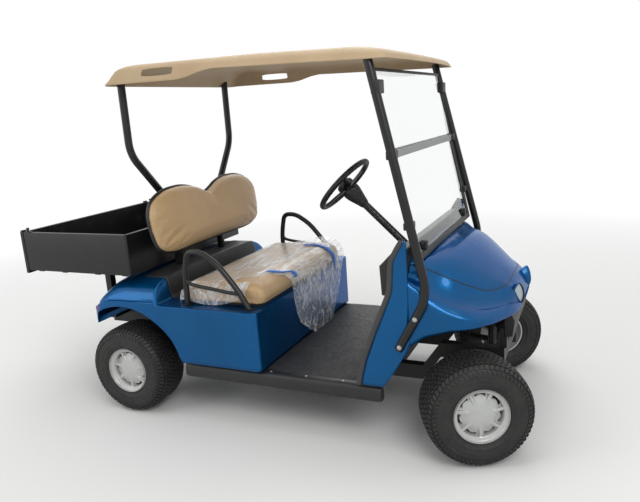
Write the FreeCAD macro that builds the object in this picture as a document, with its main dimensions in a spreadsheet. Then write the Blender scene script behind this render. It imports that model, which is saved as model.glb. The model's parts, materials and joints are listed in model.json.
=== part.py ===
import FreeCAD
import Part
import Sketcher
import math
import os
import re
from types import SimpleNamespace

from FreeCAD import Placement, Rotation, Vector

# Two-seat golf cart with a cargo box, in millimetres.
# +X points forward, +Y to the cart's left and +Z up.
# The origin is on the ground, in the middle of the whole cart's length and width.

# Driving dimensions, grouped by the piece that they shape.
# Lengths named _ahead and _behind count from the nearer axle.
# Heights named _z count from the ground.
driving = {
    # running gear
    "wheelbase": 1692.0,
    "rear_overhang": 678.0,
    "rest_steer": 27.0,
    "kingpin_y": 409.0,
    "scrub": 65.0,
    "rear_track": 978.0,
    # tyres and rims
    "tyre_radius": 225.0,
    "tyre_width": 208.0,
    "shoulder_radius": 34.0,
    "bead_radius": 112.0,
    "bead_width": 172.0,
    "rim_clearance": 0.3,
    "rim_wall": 6.0,
    "cover_depth": 26.0,
    "hub_radius": 30.0,
    "hub_length": 24.0,
    "spindle_radius": 15.0,
    "running_gap": 0.05,
    "window_count": 7.0,
    "window_inner": 58.0,
    "window_outer": 90.0,
    # frame
    "rail_y": 212.0,
    "rail_width": 45.0,
    "rail_height": 68.0,
    "rail_z": 207.0,
    "rear_rise": 138.0,
    "front_rise": 118.0,
    "rail_tail": 378.0,
    "rail_nose": 112.0,
    "cross_depth": 46.0,
    "cross_inset": 6.0,
    "rear_crank": 358.0,
    "front_crank": 250.0,
    "crank_run": 84.0,
    "hitch_radius": 8.5,
    # axles and steering
    "axle_radius": 25.0,
    "kingpin_radius": 10.0,
    "kingpin_half": 60.0,
    "eye_radius": 24.0,
    "eye_half": 34.0,
    "yoke_gap": 1.0,
    "yoke_thick": 14.0,
    "yoke_width": 44.0,
    "arm_thick": 12.0,
    "arm_behind": 60.0,
    "arm_width": 26.0,
    "tie_radius": 9.0,
    "tie_gap": 1.5,
    "tie_pin_radius": 8.0,
    "rear_tube_radius": 38.0,
    "gear_radius": 92.0,
    "gear_width": 150.0,
    "brake_radius": 84.0,
    "brake_width": 40.0,
    "motor_radius": 78.0,
    "motor_length": 236.0,
    "spring_width": 45.0,
    "spring_thick": 14.0,
    "spring_half": 270.0,
    "spring_rise": 46.0,
    "front_spring_behind": 150.0,
    "front_spring_ahead": 108.0,
    "hanger_long": 28.0,
    "shock_radius": 21.0,
    "shock_y": 160.0,
    # floor
    "mat_thick": 6.0,
    "pan_thick": 8.0,
    "floor_half": 498.0,
    "toe_behind": 438.0,
    "toe_z": 470.0,
    "firewall_behind": 262.0,
    "firewall_z": 690.0,
    "rocker_width": 44.0,
    "rocker_height": 69.0,
    "rocker_z": 219.0,
    "rocker_behind": 350.0,
    # rear body
    "pod_ahead": 772.0,
    "pod_z": 578.0,
    "pod_half": 560.0,
    "deck_z": 694.0,
    "deck_ahead": 186.0,
    "tail_behind": 209.0,
    "tail_z": 421.0,
    "sill_z": 296.0,
    "rear_arch": 335.0,
    "crease_z": 592.0,
    "deck_flat": 330.0,
    "deck_step": 30.0,
    "fall_start": 50.0,
    "fall_bend": 150.0,
    "fall_bend_drop": 70.0,
    "fall_drop": 150.0,
    "tail_cut": 40.0,
    "pod_corner": 30.0,
    "body_wall": 6.0,
    "bay_width": 800.0,
    "bay_margin": 70.0,
    "battery_height": 280.0,
    "battery_length": 372.0,
    "tail_lamp_y": 450.0,
    "tail_lamp_z": 471.0,
    "tail_lamp_size": 60.0,
    "tail_lamp_deep": 14.0,
    # seat
    "seat_depth": 460.0,
    "seat_half": 478.0,
    "seat_thick": 92.0,
    "seat_setback": 4.0,
    "base_thick": 10.0,
    "base_inset": 20.0,
    "hinge_play": 1.0,
    "soft_gap": 0.3,
    "seat_hinge_pin": 4.0,
    "seat_hinge_wall": 4.0,
    "seat_hinge_long": 60.0,
    "seat_hinge_y": 300.0,
    "seat_gap": 0.3,
    "back_half": 494.0,
    "back_low_z": 809.0,
    "back_high_z": 1128.0,
    "back_valley": 62.0,
    "back_thick": 70.0,
    "back_lean": 7.0,
    "back_ahead": 274.0,
    "shell_thick": 10.0,
    "loop_gap": 10.0,
    "loop_radius": 14.0,
    "loop_rear": 366.0,
    "loop_front": 710.0,
    "loop_bar_rise": 110.0,
    "loop_bar_radius": 9.0,
    # canopy and its struts
    "post_y": 202.0,
    "post_size": 30.0,
    "post_ahead": 113.0,
    "post_top_z": 1050.0,
    "strut_radius": 16.0,
    "strut_rear_y": 447.0,
    "strut_rear_ahead": 86.0,
    "bend_z": 1300.0,
    "roof_rear_z": 1632.0,
    "roof_front_z": 1612.0,
    "roof_half": 556.0,
    "roof_crown": 92.0,
    "roof_wall": 6.0,
    "roof_rear_ahead": 58.0,
    "roof_front_behind": 222.0,
    "roof_bow": 44.0,
    "roof_front_corner": 58.0,
    "roof_rear_corner": 46.0,
    "slot_ahead": 292.0,
    "slot_length": 175.0,
    "slot_rise": 16.0,
    "slot_height": 30.0,
    "strut_front_y": 534.0,
    "strut_foot_y": 562.5,
    "strut_top_behind": 363.0,
    "strut_knee_behind": 130.0,
    "strut_knee_z": 714.0,
    "strut_foot_behind": 258.0,
    "strut_foot_z": 480.0,
    "spacer_radius": 10.0,
    # windscreen
    "glass_half": 505.0,
    "glass_thick": 5.0,
    "glass_top_z": 1590.0,
    "glass_mid_z": 1262.0,
    "glass_low_z": 846.0,
    "glass_mid_behind": 271.0,
    "glass_low_behind": 183.0,
    "strip_height": 30.0,
    # front cowl
    "cowl_half": 541.0,
    "cowl_wall": 6.0,
    "cowl_rear_behind": 228.0,
    "cowl_nose_ahead": 172.0,
    "hood_rear_z": 866.0,
    "cowl_low_z": 560.0,
    "lamp_ahead": 157.0,
    "lamp_y": 186.0,
    "lamp_z": 634.0,
    "lamp_turn": 42.0,
    "lamp_width": 56.0,
    "lamp_height": 100.0,
    "lamp_gap": 0.3,
    "lamp_depth": 22.0,
    "lamp_recess": 5.0,
    "pod_margin": 8.0,
    "pod_depth": 120.0,
    "bumper_half": 236.0,
    "bumper_low_z": 446.0,
    "bumper_high_z": 552.0,
    # dash and controls
    "dash_half": 516.0,
    "dash_top_z": 884.0,
    "dash_rear_behind": 342.0,
    "pocket_width": 320.0,
    "pocket_height": 92.0,
    "pocket_depth": 96.0,
    "column_y": 250.0,
    "column_tilt": 44.0,
    "column_radius": 20.0,
    "hub_behind": 785.0,
    "hub_z": 1050.0,
    "wheel_ring": 166.0,
    "grip_radius": 14.0,
    # cargo box
    "box_half": 515.0,
    "box_z": 707.0,
    "box_height": 208.0,
    "box_wall": 20.0,
    "box_floor": 8.0,
    "box_ahead": 47.0,
    "gate_thick": 20.0,
    "gate_drop": 18.0,
    "gate_gap": 6.0,
    "hinge_pin": 4.0,
    "hinge_long": 60.0,
    "leg_behind": 258.0,
    "leg_y": 340.0,
    "leg_size": 38.0,
}

doc = FreeCAD.newDocument("GolfCart")
sheet = doc.addObject("Spreadsheet::Sheet", "Sizes")


def fill_sheet(rows, first_row):
    """Write alias and value pairs down the sheet, one row each."""
    for row, (alias, value) in enumerate(rows.items(), first_row):
        sheet.set(f"A{row}", alias)
        sheet.set(f"B{row}", repr(float(value)))
        sheet.setAlias(f"B{row}", alias)
    doc.recompute()


fill_sheet(driving, 1)
s = SimpleNamespace(**{alias: float(sheet.get(alias)) for alias in driving})

# Places worked out from the driving dimensions.
steer = math.radians(s.rest_steer)
shoulder_r = s.tyre_radius - s.shoulder_radius
shoulder_w = s.tyre_width / 2 - s.shoulder_radius
front_reach = (s.scrub * math.sin(steer) + shoulder_r * math.cos(steer)
               + shoulder_w * math.sin(steer) + s.shoulder_radius)
front_x = (s.rear_overhang + s.wheelbase - front_reach) / 2
rear_x = front_x - s.wheelbase
derived = {
    "front_x": front_x,
    "rear_x": rear_x,
    "steered_x": s.scrub * math.sin(steer),
    "steered_y": s.kingpin_y + s.scrub * math.cos(steer),
    "floor_top": s.rail_z + s.rail_height + s.pan_thick + s.mat_thick,
    "pod_x": rear_x + s.pod_ahead,
    "seat_rear": rear_x + s.pod_ahead - s.seat_setback - s.seat_depth,
    "seat_z": s.pod_z + s.base_thick + s.soft_gap,
    "loop_y": s.seat_half + s.loop_gap + s.loop_radius,
    "hinge_z": s.box_z - s.gate_drop / 2,
}
fill_sheet(derived, len(driving) + 1)
p = SimpleNamespace(**{alias: float(sheet.get(alias)) for alias in derived})

names = set(driving) | set(derived)
nodes = {}


def link(text):
    """Turn an expression in plain aliases into one that reads the sheet."""
    return re.sub(r"[a-z][a-z_]*[a-z]", lambda m: "Sizes." + m.group() if m.group() in names else m.group(), text)


def bind(obj, **expressions):
    for path, text in expressions.items():
        obj.setExpression(path.replace("__", "."), link(text))


def keep(label, obj):
    """Give a finished sub-part its own label and list it for export."""
    obj.Label = label
    nodes[label] = obj
    return obj


def feature(label, shape, placement=None):
    """A sub-part whose shape is made here from the sheet's sizes."""
    obj = doc.addObject("Part::Feature", label)
    obj.Shape = shape
    if placement is not None:
        obj.Placement = placement
    return keep(label, obj)


def block(name, x, y, z, length, width, height):
    """A box bound to the sheet: its low corner, then its three sizes."""
    obj = doc.addObject("Part::Box", name)
    bind(obj, Length=length, Width=width, Height=height)
    bind(obj, Placement__Base__x=x, Placement__Base__y=y, Placement__Base__z=z)
    return obj


def pair(label, parts):
    """Like pieces of one body that don't touch share a node."""
    obj = doc.addObject("Part::Compound", label)
    obj.Links = parts
    return keep(label, obj)


def plane_of(body, role):
    return next(f for f in body.Origin.OriginFeatures if f.Role == role)


def sketch_on(body, role, name):
    sketch = body.newObject("Sketcher::SketchObject", name)
    sketch.AttachmentSupport = [(plane_of(body, role), "")]
    sketch.MapMode = "FlatFace"
    return sketch


def outline(sketch, corners):
    """Close a polygon whose corners are bound to the sheet."""
    places = [(float(sketch.evalExpression(link(a))), float(sketch.evalExpression(link(b)))) for a, b in corners]
    count = len(places)
    first = sketch.GeometryCount
    for here, there in zip(places, places[1:] + places[:1]):
        sketch.addGeometry(Part.LineSegment(Vector(*here, 0), Vector(*there, 0)), False)
    for i in range(count):
        sketch.addConstraint(Sketcher.Constraint("Coincident", first + i, 2, first + (i + 1) % count, 1))
    for i, (a, b) in enumerate(corners):
        for kind, text, value in (("DistanceX", a, places[i][0]), ("DistanceY", b, places[i][1])):
            index = sketch.addConstraint(Sketcher.Constraint(kind, -1, 1, first + i, 1, value))
            sketch.setExpression(f"Constraints[{index}]", link(text))


def pad(body, sketch, length, midplane=False, reverse=False):
    obj = body.newObject("PartDesign::Pad", "Pad")
    obj.Profile = sketch
    obj.Midplane = midplane
    obj.Reversed = reverse
    bind(obj, Length=length)
    body.Tip = obj
    return obj


def revolve(body, sketch, axis="H_Axis"):
    obj = body.newObject("PartDesign::Revolution", "Revolution")
    obj.Profile = sketch
    obj.ReferenceAxis = (sketch, [axis])
    body.Tip = obj
    return obj


def round_edges(body, base, wanted, radius):
    """Fillet the edges of the last feature that the test picks."""
    doc.recompute()
    picked = [f"Edge{i}" for i, edge in enumerate(base.Shape.Edges, 1) if wanted(edge)]
    obj = body.newObject("PartDesign::Fillet", "Fillet")
    obj.Base = (base, picked)
    bind(obj, Radius=radius)
    body.Tip = obj
    return obj


def profile_prism(corners, low, high):
    """Extrude a side outline, given as X and Z corners, from one Y to another."""
    points = [Vector(x, low, z) for x, z in corners]
    face = Part.Face(Part.makePolygon(points + points[:1]))
    return face.extrude(Vector(0, high - low, 0))


def bent_path(points, radius):
    """Straight runs joined by tangent arcs at the inner points."""
    edges = []
    start = points[0]
    for before, corner, after in zip(points, points[1:], points[2:]):
        back = (before - corner).normalize()
        ahead = (after - corner).normalize()
        half = back.getAngle(ahead) / 2
        room = 0.45 * min((before - corner).Length, (after - corner).Length)
        reach = min(radius / math.tan(half), room)
        arc_radius = reach * math.tan(half)
        inner = (back + ahead).normalize()
        middle = corner + inner * (arc_radius / math.sin(half) - arc_radius)
        first = corner + back * reach
        last = corner + ahead * reach
        edges.append(Part.LineSegment(start, first).toShape())
        edges.append(Part.Arc(first, middle, last).toShape())
        start = last
    edges.append(Part.LineSegment(start, points[-1]).toShape())
    return Part.Wire(edges)


def tube(points, radius, bend):
    """A round bar along a bent path."""
    path = bent_path(points, bend)
    circle = Part.makeCircle(radius, points[0], points[1] - points[0])
    return path.makePipeShell([Part.Wire(circle)], True, False)


def mirrored(shape):
    return shape.mirror(Vector(0, 0, 0), Vector(0, 1, 0))


def rod(start, end, radius):
    return Part.makeCylinder(radius, (end - start).Length, start, end - start)


def cuboid(x, y, z):
    """A plain block from three ranges."""
    return Part.makeBox(x[1] - x[0], y[1] - y[0], z[1] - z[0], Vector(x[0], y[0], z[0]))


def both_sides(shape):
    return Part.makeCompound([shape, mirrored(shape)])


# Wheels

def make_tyre(label, x, y, turn):
    body = doc.addObject("PartDesign::Body", label)
    sketch = sketch_on(body, "YZ_Plane", "Section")
    half, bead = "tyre_width / 2", "bead_width / 2"
    outline(sketch, [(f"-{bead}", "bead_radius"), (bead, "bead_radius"),
                     (half, "(bead_radius + tyre_radius) / 2"), (half, "tyre_radius"),
                     (f"-{half}", "tyre_radius"), (f"-{half}", "(bead_radius + tyre_radius) / 2")])
    ring = revolve(body, sketch)

    def tread_edge(edge):
        return abs(edge.BoundBox.ZMax - s.tyre_radius) < 0.01 and edge.BoundBox.YLength < 0.01
    round_edges(body, ring, tread_edge, "shoulder_radius")
    bind(body, Placement__Base__x=x, Placement__Base__y=y, Placement__Base__z="tyre_radius")
    body.Placement.Rotation = Rotation(Vector(0, 0, 1), turn)
    return keep(label, body)


def make_rim(label, x, y, turn):
    """Steel rim with a pressed cover: outer ring, spokes and a domed middle."""
    body = doc.addObject("PartDesign::Body", label)
    sketch = sketch_on(body, "YZ_Plane", "Section")
    edge, outer = "bead_width / 2", "bead_radius - rim_clearance"
    lip = "bead_radius + 5"
    outline(sketch, [
        ("-hub_length / 2", "spindle_radius + running_gap"), (f"{edge} - 4", "spindle_radius + running_gap"),
        (f"{edge} - 4", "hub_radius"), (f"{edge} - cover_depth + 8", "hub_radius + 16"),
        (f"{edge} - cover_depth + 8", "window_outer + 4"), (f"{edge} + 1", f"{outer} - rim_wall"),
        (f"{edge} + 7", f"{outer} - rim_wall"), (f"{edge} + 7", lip), (f"{edge} + 2", lip),
        (f"{edge} + 2", outer), (f"-{edge}", outer), (f"-{edge}", f"{outer} - rim_wall"),
        (f"{edge} - cover_depth - 16", f"{outer} - rim_wall"), (f"{edge} - cover_depth", "window_outer"),
        (f"{edge} - cover_depth", "hub_radius + 10"), (f"{edge} - cover_depth - 14", "hub_radius"),
        ("-hub_length / 2", "hub_radius")])
    disc = revolve(body, sketch)
    doc.recompute()
    window = sketch_on(body, "XZ_Plane", "Window")
    outline(window, [("-window_inner * 0.34", "window_inner"), ("window_inner * 0.34", "window_inner"),
                     ("window_outer * 0.32", "window_outer"), ("-window_outer * 0.32", "window_outer")])
    cut = body.newObject("PartDesign::Pocket", "WindowCut")
    cut.Profile = window
    bind(cut, Length="bead_width / 2")
    body.Tip = cut
    doc.recompute()
    ring = body.newObject("PartDesign::PolarPattern", "Windows")
    ring.Originals = [cut]
    ring.Axis = (plane_of(body, "Y_Axis"), [""])
    ring.Angle = 360
    bind(ring, Occurrences="window_count")
    body.Tip = ring
    bind(body, Placement__Base__x=x, Placement__Base__y=y, Placement__Base__z="tyre_radius")
    body.Placement.Rotation = Rotation(Vector(0, 0, 1), turn)
    return keep(label, body)


for side, sign, half_turn in (("left", 1, 0), ("right", -1, 180)):
    mark = "" if sign > 0 else "-"
    front_place = (f"front_x + {-sign} * steered_x", f"{mark}steered_y", s.rest_steer + half_turn)
    rear_place = ("rear_x", f"{mark}rear_track / 2", half_turn)
    for end, place in (("front", front_place), ("rear", rear_place)):
        make_tyre(f"tyre_{end}_{side}", *place)
        make_rim(f"wheel_{end}_{side}", *place)

# Frame and running gear
rear_rail_z = s.rail_z + s.rear_rise
front_rail_z = s.rail_z + s.front_rise


def make_rail():
    """Side outline of the left rail, low behind the front axle and cranked up over both axles."""
    rise_rear = p.rear_x + s.rear_crank
    rise_front = p.front_x - s.front_crank + s.crank_run
    top = [(p.rear_x - s.rail_tail, rear_rail_z), (rise_rear - s.crank_run, rear_rail_z), (rise_rear, s.rail_z),
           (rise_front - s.crank_run, s.rail_z), (rise_front, front_rail_z),
           (p.front_x + s.rail_nose, front_rail_z)]
    corners = top + [(x, z + s.rail_height) for x, z in reversed(top)]
    low = s.rail_y - s.rail_width / 2
    return profile_prism(corners, low, low + s.rail_width)


def make_cross_members():
    """Bars between the rails, the last one with the hitch hole."""
    low = s.rail_y - s.rail_width / 2
    crosses = [(p.rear_x - s.rail_tail, rear_rail_z), (p.rear_x + 60, rear_rail_z), (p.rear_x + 700, s.rail_z),
               (p.front_x - 430, s.rail_z), (p.front_x + s.rail_nose - s.cross_depth, front_rail_z)]
    inset = s.cross_inset
    bars = [cuboid((x, x + s.cross_depth), (-low, low), (z + inset, z + s.rail_height - inset)) for x, z in crosses]
    hitch = Part.makeCylinder(s.hitch_radius, 4 * s.rail_height,
                              Vector(p.rear_x - s.rail_tail + s.cross_depth / 2, 0, rear_rail_z - 10))
    return Part.makeCompound([bars[0].cut(hitch)] + bars[1:])


feature("frame_rails", both_sides(make_rail()))
feature("cross_members", make_cross_members())


def make_front_axle():
    """Round beam with kingpin eyes; each pin stands through its eye."""
    beam = rod(Vector(p.front_x, -s.kingpin_y, s.tyre_radius), Vector(p.front_x, s.kingpin_y, s.tyre_radius),
               s.axle_radius)
    parts = []
    for sign in (1, -1):
        foot = Vector(p.front_x, sign * s.kingpin_y, s.tyre_radius)
        parts.append(Part.makeCylinder(s.eye_radius, 2 * s.eye_half, foot - Vector(0, 0, s.eye_half)))
        parts.append(Part.makeCylinder(s.kingpin_radius, 2 * s.kingpin_half, foot - Vector(0, 0, s.kingpin_half)))
    perch_y = s.rail_y - s.spring_width / 2
    for low in (perch_y, -perch_y - s.spring_width):
        parts.append(cuboid((p.front_x - 30, p.front_x + 30), (low, low + s.spring_width),
                            (s.tyre_radius, s.tyre_radius + s.axle_radius + 4)))
    return beam.multiFuse(parts).removeSplitter()


feature("front_axle", make_front_axle())


def make_knuckle(sign):
    """Yoke round the kingpin with a spindle outboard and a steering arm inboard, wheels straight ahead."""
    low = s.eye_half + s.yoke_gap
    wide = s.yoke_width
    web_y = (s.eye_radius + 6, s.eye_radius + 24)
    yoke = cuboid((-wide / 2, wide / 2), web_y, (-low - s.yoke_thick, low + s.yoke_thick))
    ears = [cuboid((-wide / 2, wide / 2), (-wide / 2, web_y[1]), (z, z + s.yoke_thick))
            for z in (low, -low - s.yoke_thick)]
    spindle = rod(Vector(0, web_y[0], 0), Vector(0, s.scrub + s.bead_width / 2 - 12, 0), s.spindle_radius)
    arm_z = -low - s.yoke_thick
    arm = cuboid((-s.arm_behind, 0), (-s.arm_width / 2, s.arm_width / 2), (arm_z, arm_z + s.arm_thick))
    eye = Part.makeCylinder(s.arm_width / 2, s.arm_thick, Vector(-s.arm_behind, 0, arm_z))
    shape = yoke.multiFuse(ears + [spindle, arm, eye])
    bore = Part.makeCylinder(s.kingpin_radius + s.running_gap, 4 * s.kingpin_half, Vector(0, 0, -2 * s.kingpin_half))
    eye_hole = Part.makeCylinder(s.tie_pin_radius, 2 * s.arm_thick, Vector(-s.arm_behind, 0, arm_z - 2))
    shape = shape.cut(bore.fuse(eye_hole)).removeSplitter()
    if sign < 0:
        shape = mirrored(shape)
    return shape


for side, sign in (("left", 1), ("right", -1)):
    place = Placement(Vector(p.front_x, sign * s.kingpin_y, s.tyre_radius), Rotation(Vector(0, 0, 1), s.rest_steer))
    feature(f"knuckle_{side}", make_knuckle(sign), place)


def arm_end(sign):
    """Centre of a knuckle's rear eye at the rest steer."""
    turned = Rotation(Vector(0, 0, 1), s.rest_steer).multVec(Vector(-s.arm_behind, 0, 0))
    return Vector(p.front_x, sign * s.kingpin_y, s.tyre_radius) + turned


def make_tie_rod():
    """Cross rod over the two arms, with a pin down through each eye."""
    arm_low = s.eye_half + s.yoke_gap + s.yoke_thick
    drop = arm_low - s.arm_thick - s.tie_gap - s.tie_radius
    ends = [arm_end(1) - Vector(0, 0, drop), arm_end(-1) - Vector(0, 0, drop)]
    shape = rod(ends[0], ends[1], s.tie_radius)
    for end in ends:
        reach = arm_low - drop + 3
        shape = shape.fuse(Part.makeCylinder(s.tie_pin_radius - s.running_gap, reach, end - Vector(0, 0, reach)))
        shape = shape.fuse(Part.makeCylinder(s.tie_radius + 3, 2 * s.tie_radius, end - Vector(0, 0, s.tie_radius)))
    return shape.removeSplitter()


feature("tie_rod", make_tie_rod())


def make_springs(x, seat_z):
    """A leaf pack over the axle each side, its ends curled up to the rails."""
    low = s.rail_y - s.spring_width / 2
    half, thick, rise = s.spring_half, s.spring_thick, s.spring_rise
    lower = Part.Arc(Vector(x - half, low, seat_z + rise), Vector(x, low, seat_z), Vector(x + half, low, seat_z + rise))
    upper = Part.Arc(Vector(x + half, low, seat_z + rise + thick), Vector(x, low, seat_z + thick),
                     Vector(x - half, low, seat_z + rise + thick))
    ends = [Part.LineSegment(lower.EndPoint, upper.StartPoint), Part.LineSegment(upper.EndPoint, lower.StartPoint)]
    wire = Part.Wire([lower.toShape(), ends[0].toShape(), upper.toShape(), ends[1].toShape()])
    return both_sides(Part.Face(wire).extrude(Vector(0, s.spring_width, 0)))


def hang_springs(x, behind, ahead, seat_z, rail_z):
    """Each leaf runs from behind to ahead of the axle and hangs from the rail by a block at each end."""
    half = s.spring_half
    stretch = cuboid((x - behind, x + ahead), (-s.rail_y - half, s.rail_y + half), (seat_z - half, seat_z + half))
    leaves = make_springs(x, seat_z).common(stretch)
    low = s.rail_y - s.spring_width / 2 + s.cross_inset
    wide = s.spring_width - 2 * s.cross_inset
    solids = []
    for leaf in leaves.Solids:
        side = low if leaf.CenterOfMass.y > 0 else -low - wide
        for run in (-behind, ahead - s.hanger_long):
            reach = abs(run + s.hanger_long / 2) / half
            eye_z = seat_z + s.spring_rise * reach ** 2 + s.spring_thick / 2
            hanger = cuboid((x + run, x + run + s.hanger_long), (side, side + wide), (eye_z, rail_z))
            leaf = leaf.fuse(hanger)
        solids.append(leaf.removeSplitter())
    return Part.makeCompound(solids)


front_seat_z = s.tyre_radius + s.axle_radius + 4
rear_seat_z = s.tyre_radius + s.rear_tube_radius + 4
feature("front_springs", hang_springs(p.front_x, s.front_spring_behind, s.front_spring_ahead, front_seat_z,
                                     front_rail_z))
feature("rear_springs", hang_springs(p.rear_x, s.spring_half, s.spring_half, rear_seat_z, rear_rail_z))


def make_rear_axle():
    """Tube with a gear case in the middle, brake backing plates and wheel stubs."""
    inner = s.rear_track / 2 - s.hub_length / 2 - 6
    centre = Vector(p.rear_x, 0, s.tyre_radius)
    across = Vector(0, 1, 0)
    tube_bar = Part.makeCylinder(s.rear_tube_radius, 2 * inner, centre - across * inner, across)
    case = Part.makeCylinder(s.gear_radius, s.gear_width, centre - across * (s.gear_width / 2), across)
    case = case.makeFillet(28, case.Edges)
    parts = [case]
    for sign in (1, -1):
        plate = centre + across * (sign * (inner - s.brake_width))
        parts.append(Part.makeCylinder(s.brake_radius, s.brake_width, plate, across * sign))
        end = s.rear_track / 2 + s.bead_width / 2 - 12
        parts.append(Part.makeCylinder(s.spindle_radius, end - inner + 1, centre + across * (sign * (inner - 1)),
                                       across * sign))
        low = s.rail_y - s.spring_width / 2 if sign > 0 else -s.rail_y - s.spring_width / 2
        parts.append(cuboid((p.rear_x - 30, p.rear_x + 30), (low, low + s.spring_width),
                            (s.tyre_radius, s.tyre_radius + s.rear_tube_radius + 4)))
    return tube_bar.multiFuse(parts).removeSplitter()


feature("rear_axle", make_rear_axle())
motor = doc.addObject("Part::Cylinder", "drive_motor")
bind(motor, Radius="motor_radius", Height="motor_length")
bind(motor, Placement__Base__x="rear_x - gear_radius - motor_radius - soft_gap", Placement__Base__y="gear_width / 2 - motor_length",
     Placement__Base__z="tyre_radius")
motor.Placement.Rotation = Rotation(Vector(1, 0, 0), -90)
keep("drive_motor", motor)


def make_shocks():
    """Four upright dampers between the axles and the frame, each with a pin into the rail."""
    parts = []
    pin_y = (s.shock_y, s.rail_y - s.rail_width / 2)
    for x, seat, top in ((p.front_x, s.tyre_radius + s.axle_radius, front_rail_z + s.rail_height / 2),
                         (p.rear_x, s.tyre_radius + s.rear_tube_radius, rear_rail_z + s.rail_height / 2)):
        body = Part.makeCylinder(s.shock_radius, top + 14 - seat, Vector(x, s.shock_y, seat))
        pin = rod(Vector(x, pin_y[0], top), Vector(x, pin_y[1], top), 8)
        shock = body.fuse(pin).removeSplitter()
        parts += [shock, mirrored(shock)]
    return Part.makeCompound(parts)


feature("shocks", make_shocks())

# Floor
pan_z = s.rail_z + s.rail_height
fire_x = p.front_x - s.firewall_behind
toe_x = p.front_x - s.toe_behind


def floor_line(offset, top_z):
    """The pan's underside line, moved up and back by offset: floor, toe board, firewall."""
    slope = math.atan2(s.toe_z - pan_z, fire_x - toe_x)
    line = [(p.pod_x, pan_z + offset), (toe_x - offset * math.tan(slope / 2), pan_z + offset)]
    lean = math.tan((math.pi / 2 - slope) / 2)
    line.append((fire_x - offset * (lean * math.cos(slope) + math.sin(slope)),
                 s.toe_z + offset * (math.cos(slope) - lean * math.sin(slope))))
    if top_z > s.toe_z:
        line.append((fire_x - offset, top_z))
    return line


def make_floor(low, thick, top_z, half):
    """A sheet that runs flat, up the toe board and up the firewall."""
    return profile_prism(floor_line(low, top_z) + floor_line(low + thick, top_z)[::-1], -half, half)


feature("floor_pan", make_floor(0, s.pan_thick, s.firewall_z, s.floor_half))
feature("floor_mat", make_floor(s.pan_thick, s.mat_thick, s.toe_z, s.floor_half - 4))
rocker_length = "front_x - rocker_behind - rear_x - rear_arch"
rockers = [block(f"rocker_{side}", "rear_x + rear_arch", y, "rocker_z", rocker_length, "rocker_width",
                 "rocker_height") for side, y in (("left", "floor_half"),
                                                  ("right", "-floor_half - rocker_width"))]
pair("rockers", rockers)


# Rear body

def rear_side(grow, below):
    """Side outline of the rear body, moved outwards by grow and its underside dropped by below."""
    front = p.pod_x + grow
    tail = p.rear_x - s.tail_behind - grow
    deck = p.rear_x + s.deck_ahead + grow
    return [(front, s.sill_z - below), (front, s.pod_z + grow), (deck + s.deck_step, s.pod_z + grow),
            (deck, s.deck_z + grow), (p.rear_x - s.fall_start, s.deck_z + grow),
            (p.rear_x - s.fall_bend, s.deck_z - s.fall_bend_drop + grow), (tail, s.deck_z - s.fall_drop + grow),
            (tail, s.tail_z - below), (p.rear_x - s.tail_cut, s.sill_z - below)]


def rear_solid(grow, below):
    """The side outline across the body, with shoulders that arc down from the deck to the crease."""
    half = s.pod_half + grow
    flat = s.deck_flat
    crease = s.crease_z + grow
    top = s.deck_z + grow
    block = profile_prism(rear_side(grow, below), -half, half)
    corners = [edge for edge in block.Edges
               if edge.BoundBox.XMin > p.pod_x + grow - 1 and edge.BoundBox.YLength < 1]
    block = block.makeFillet(s.pod_corner + grow, corners)
    x = p.rear_x - s.tail_behind - s.deck_step
    low = s.sill_z - s.deck_step - below
    slant = math.sqrt(0.5)
    shoulder = Part.Arc(Vector(x, half, crease), Vector(x, flat + (half - flat) * slant, crease + (top - crease) * slant),
                        Vector(x, flat, top)).toShape()
    other = shoulder.mirror(Vector(0, 0, 0), Vector(0, 1, 0))
    corners = [(half, crease), (half, low), (-half, low), (-half, crease)]
    lines = [Part.LineSegment(Vector(x, *a), Vector(x, *b)).toShape() for a, b in zip(corners, corners[1:])]
    ridge = Part.LineSegment(Vector(x, -flat, top), Vector(x, flat, top)).toShape()
    section = Part.Face(Part.Wire(Part.__sortEdges__([shoulder, other, ridge] + lines)))
    return block.common(section.extrude(Vector(p.pod_x - x + s.deck_step, 0, 0)))


barrel_radius = s.seat_hinge_pin + s.seat_hinge_wall
seat_hinge = Vector(p.seat_rear - barrel_radius - s.soft_gap, 0, s.pod_z + barrel_radius + s.soft_gap)


def seat_hinge_mounts(sign):
    """A lug on the pod and the pin that it carries, at the outer end of one seat hinge."""
    side = Vector(0, sign, 0)
    inner = seat_hinge + side * s.seat_hinge_y
    outer = s.seat_hinge_y + s.seat_hinge_long
    lug_y = sorted((sign * outer, sign * (outer + 10)))
    foot = cuboid((seat_hinge.x - barrel_radius, seat_hinge.x + barrel_radius), lug_y, (s.pod_z - 1, seat_hinge.z))
    eye = rod(Vector(seat_hinge.x, lug_y[0], seat_hinge.z), Vector(seat_hinge.x, lug_y[1], seat_hinge.z),
              barrel_radius)
    return [foot, eye, rod(inner, seat_hinge + side * (outer + 1), s.seat_hinge_pin)]


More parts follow.
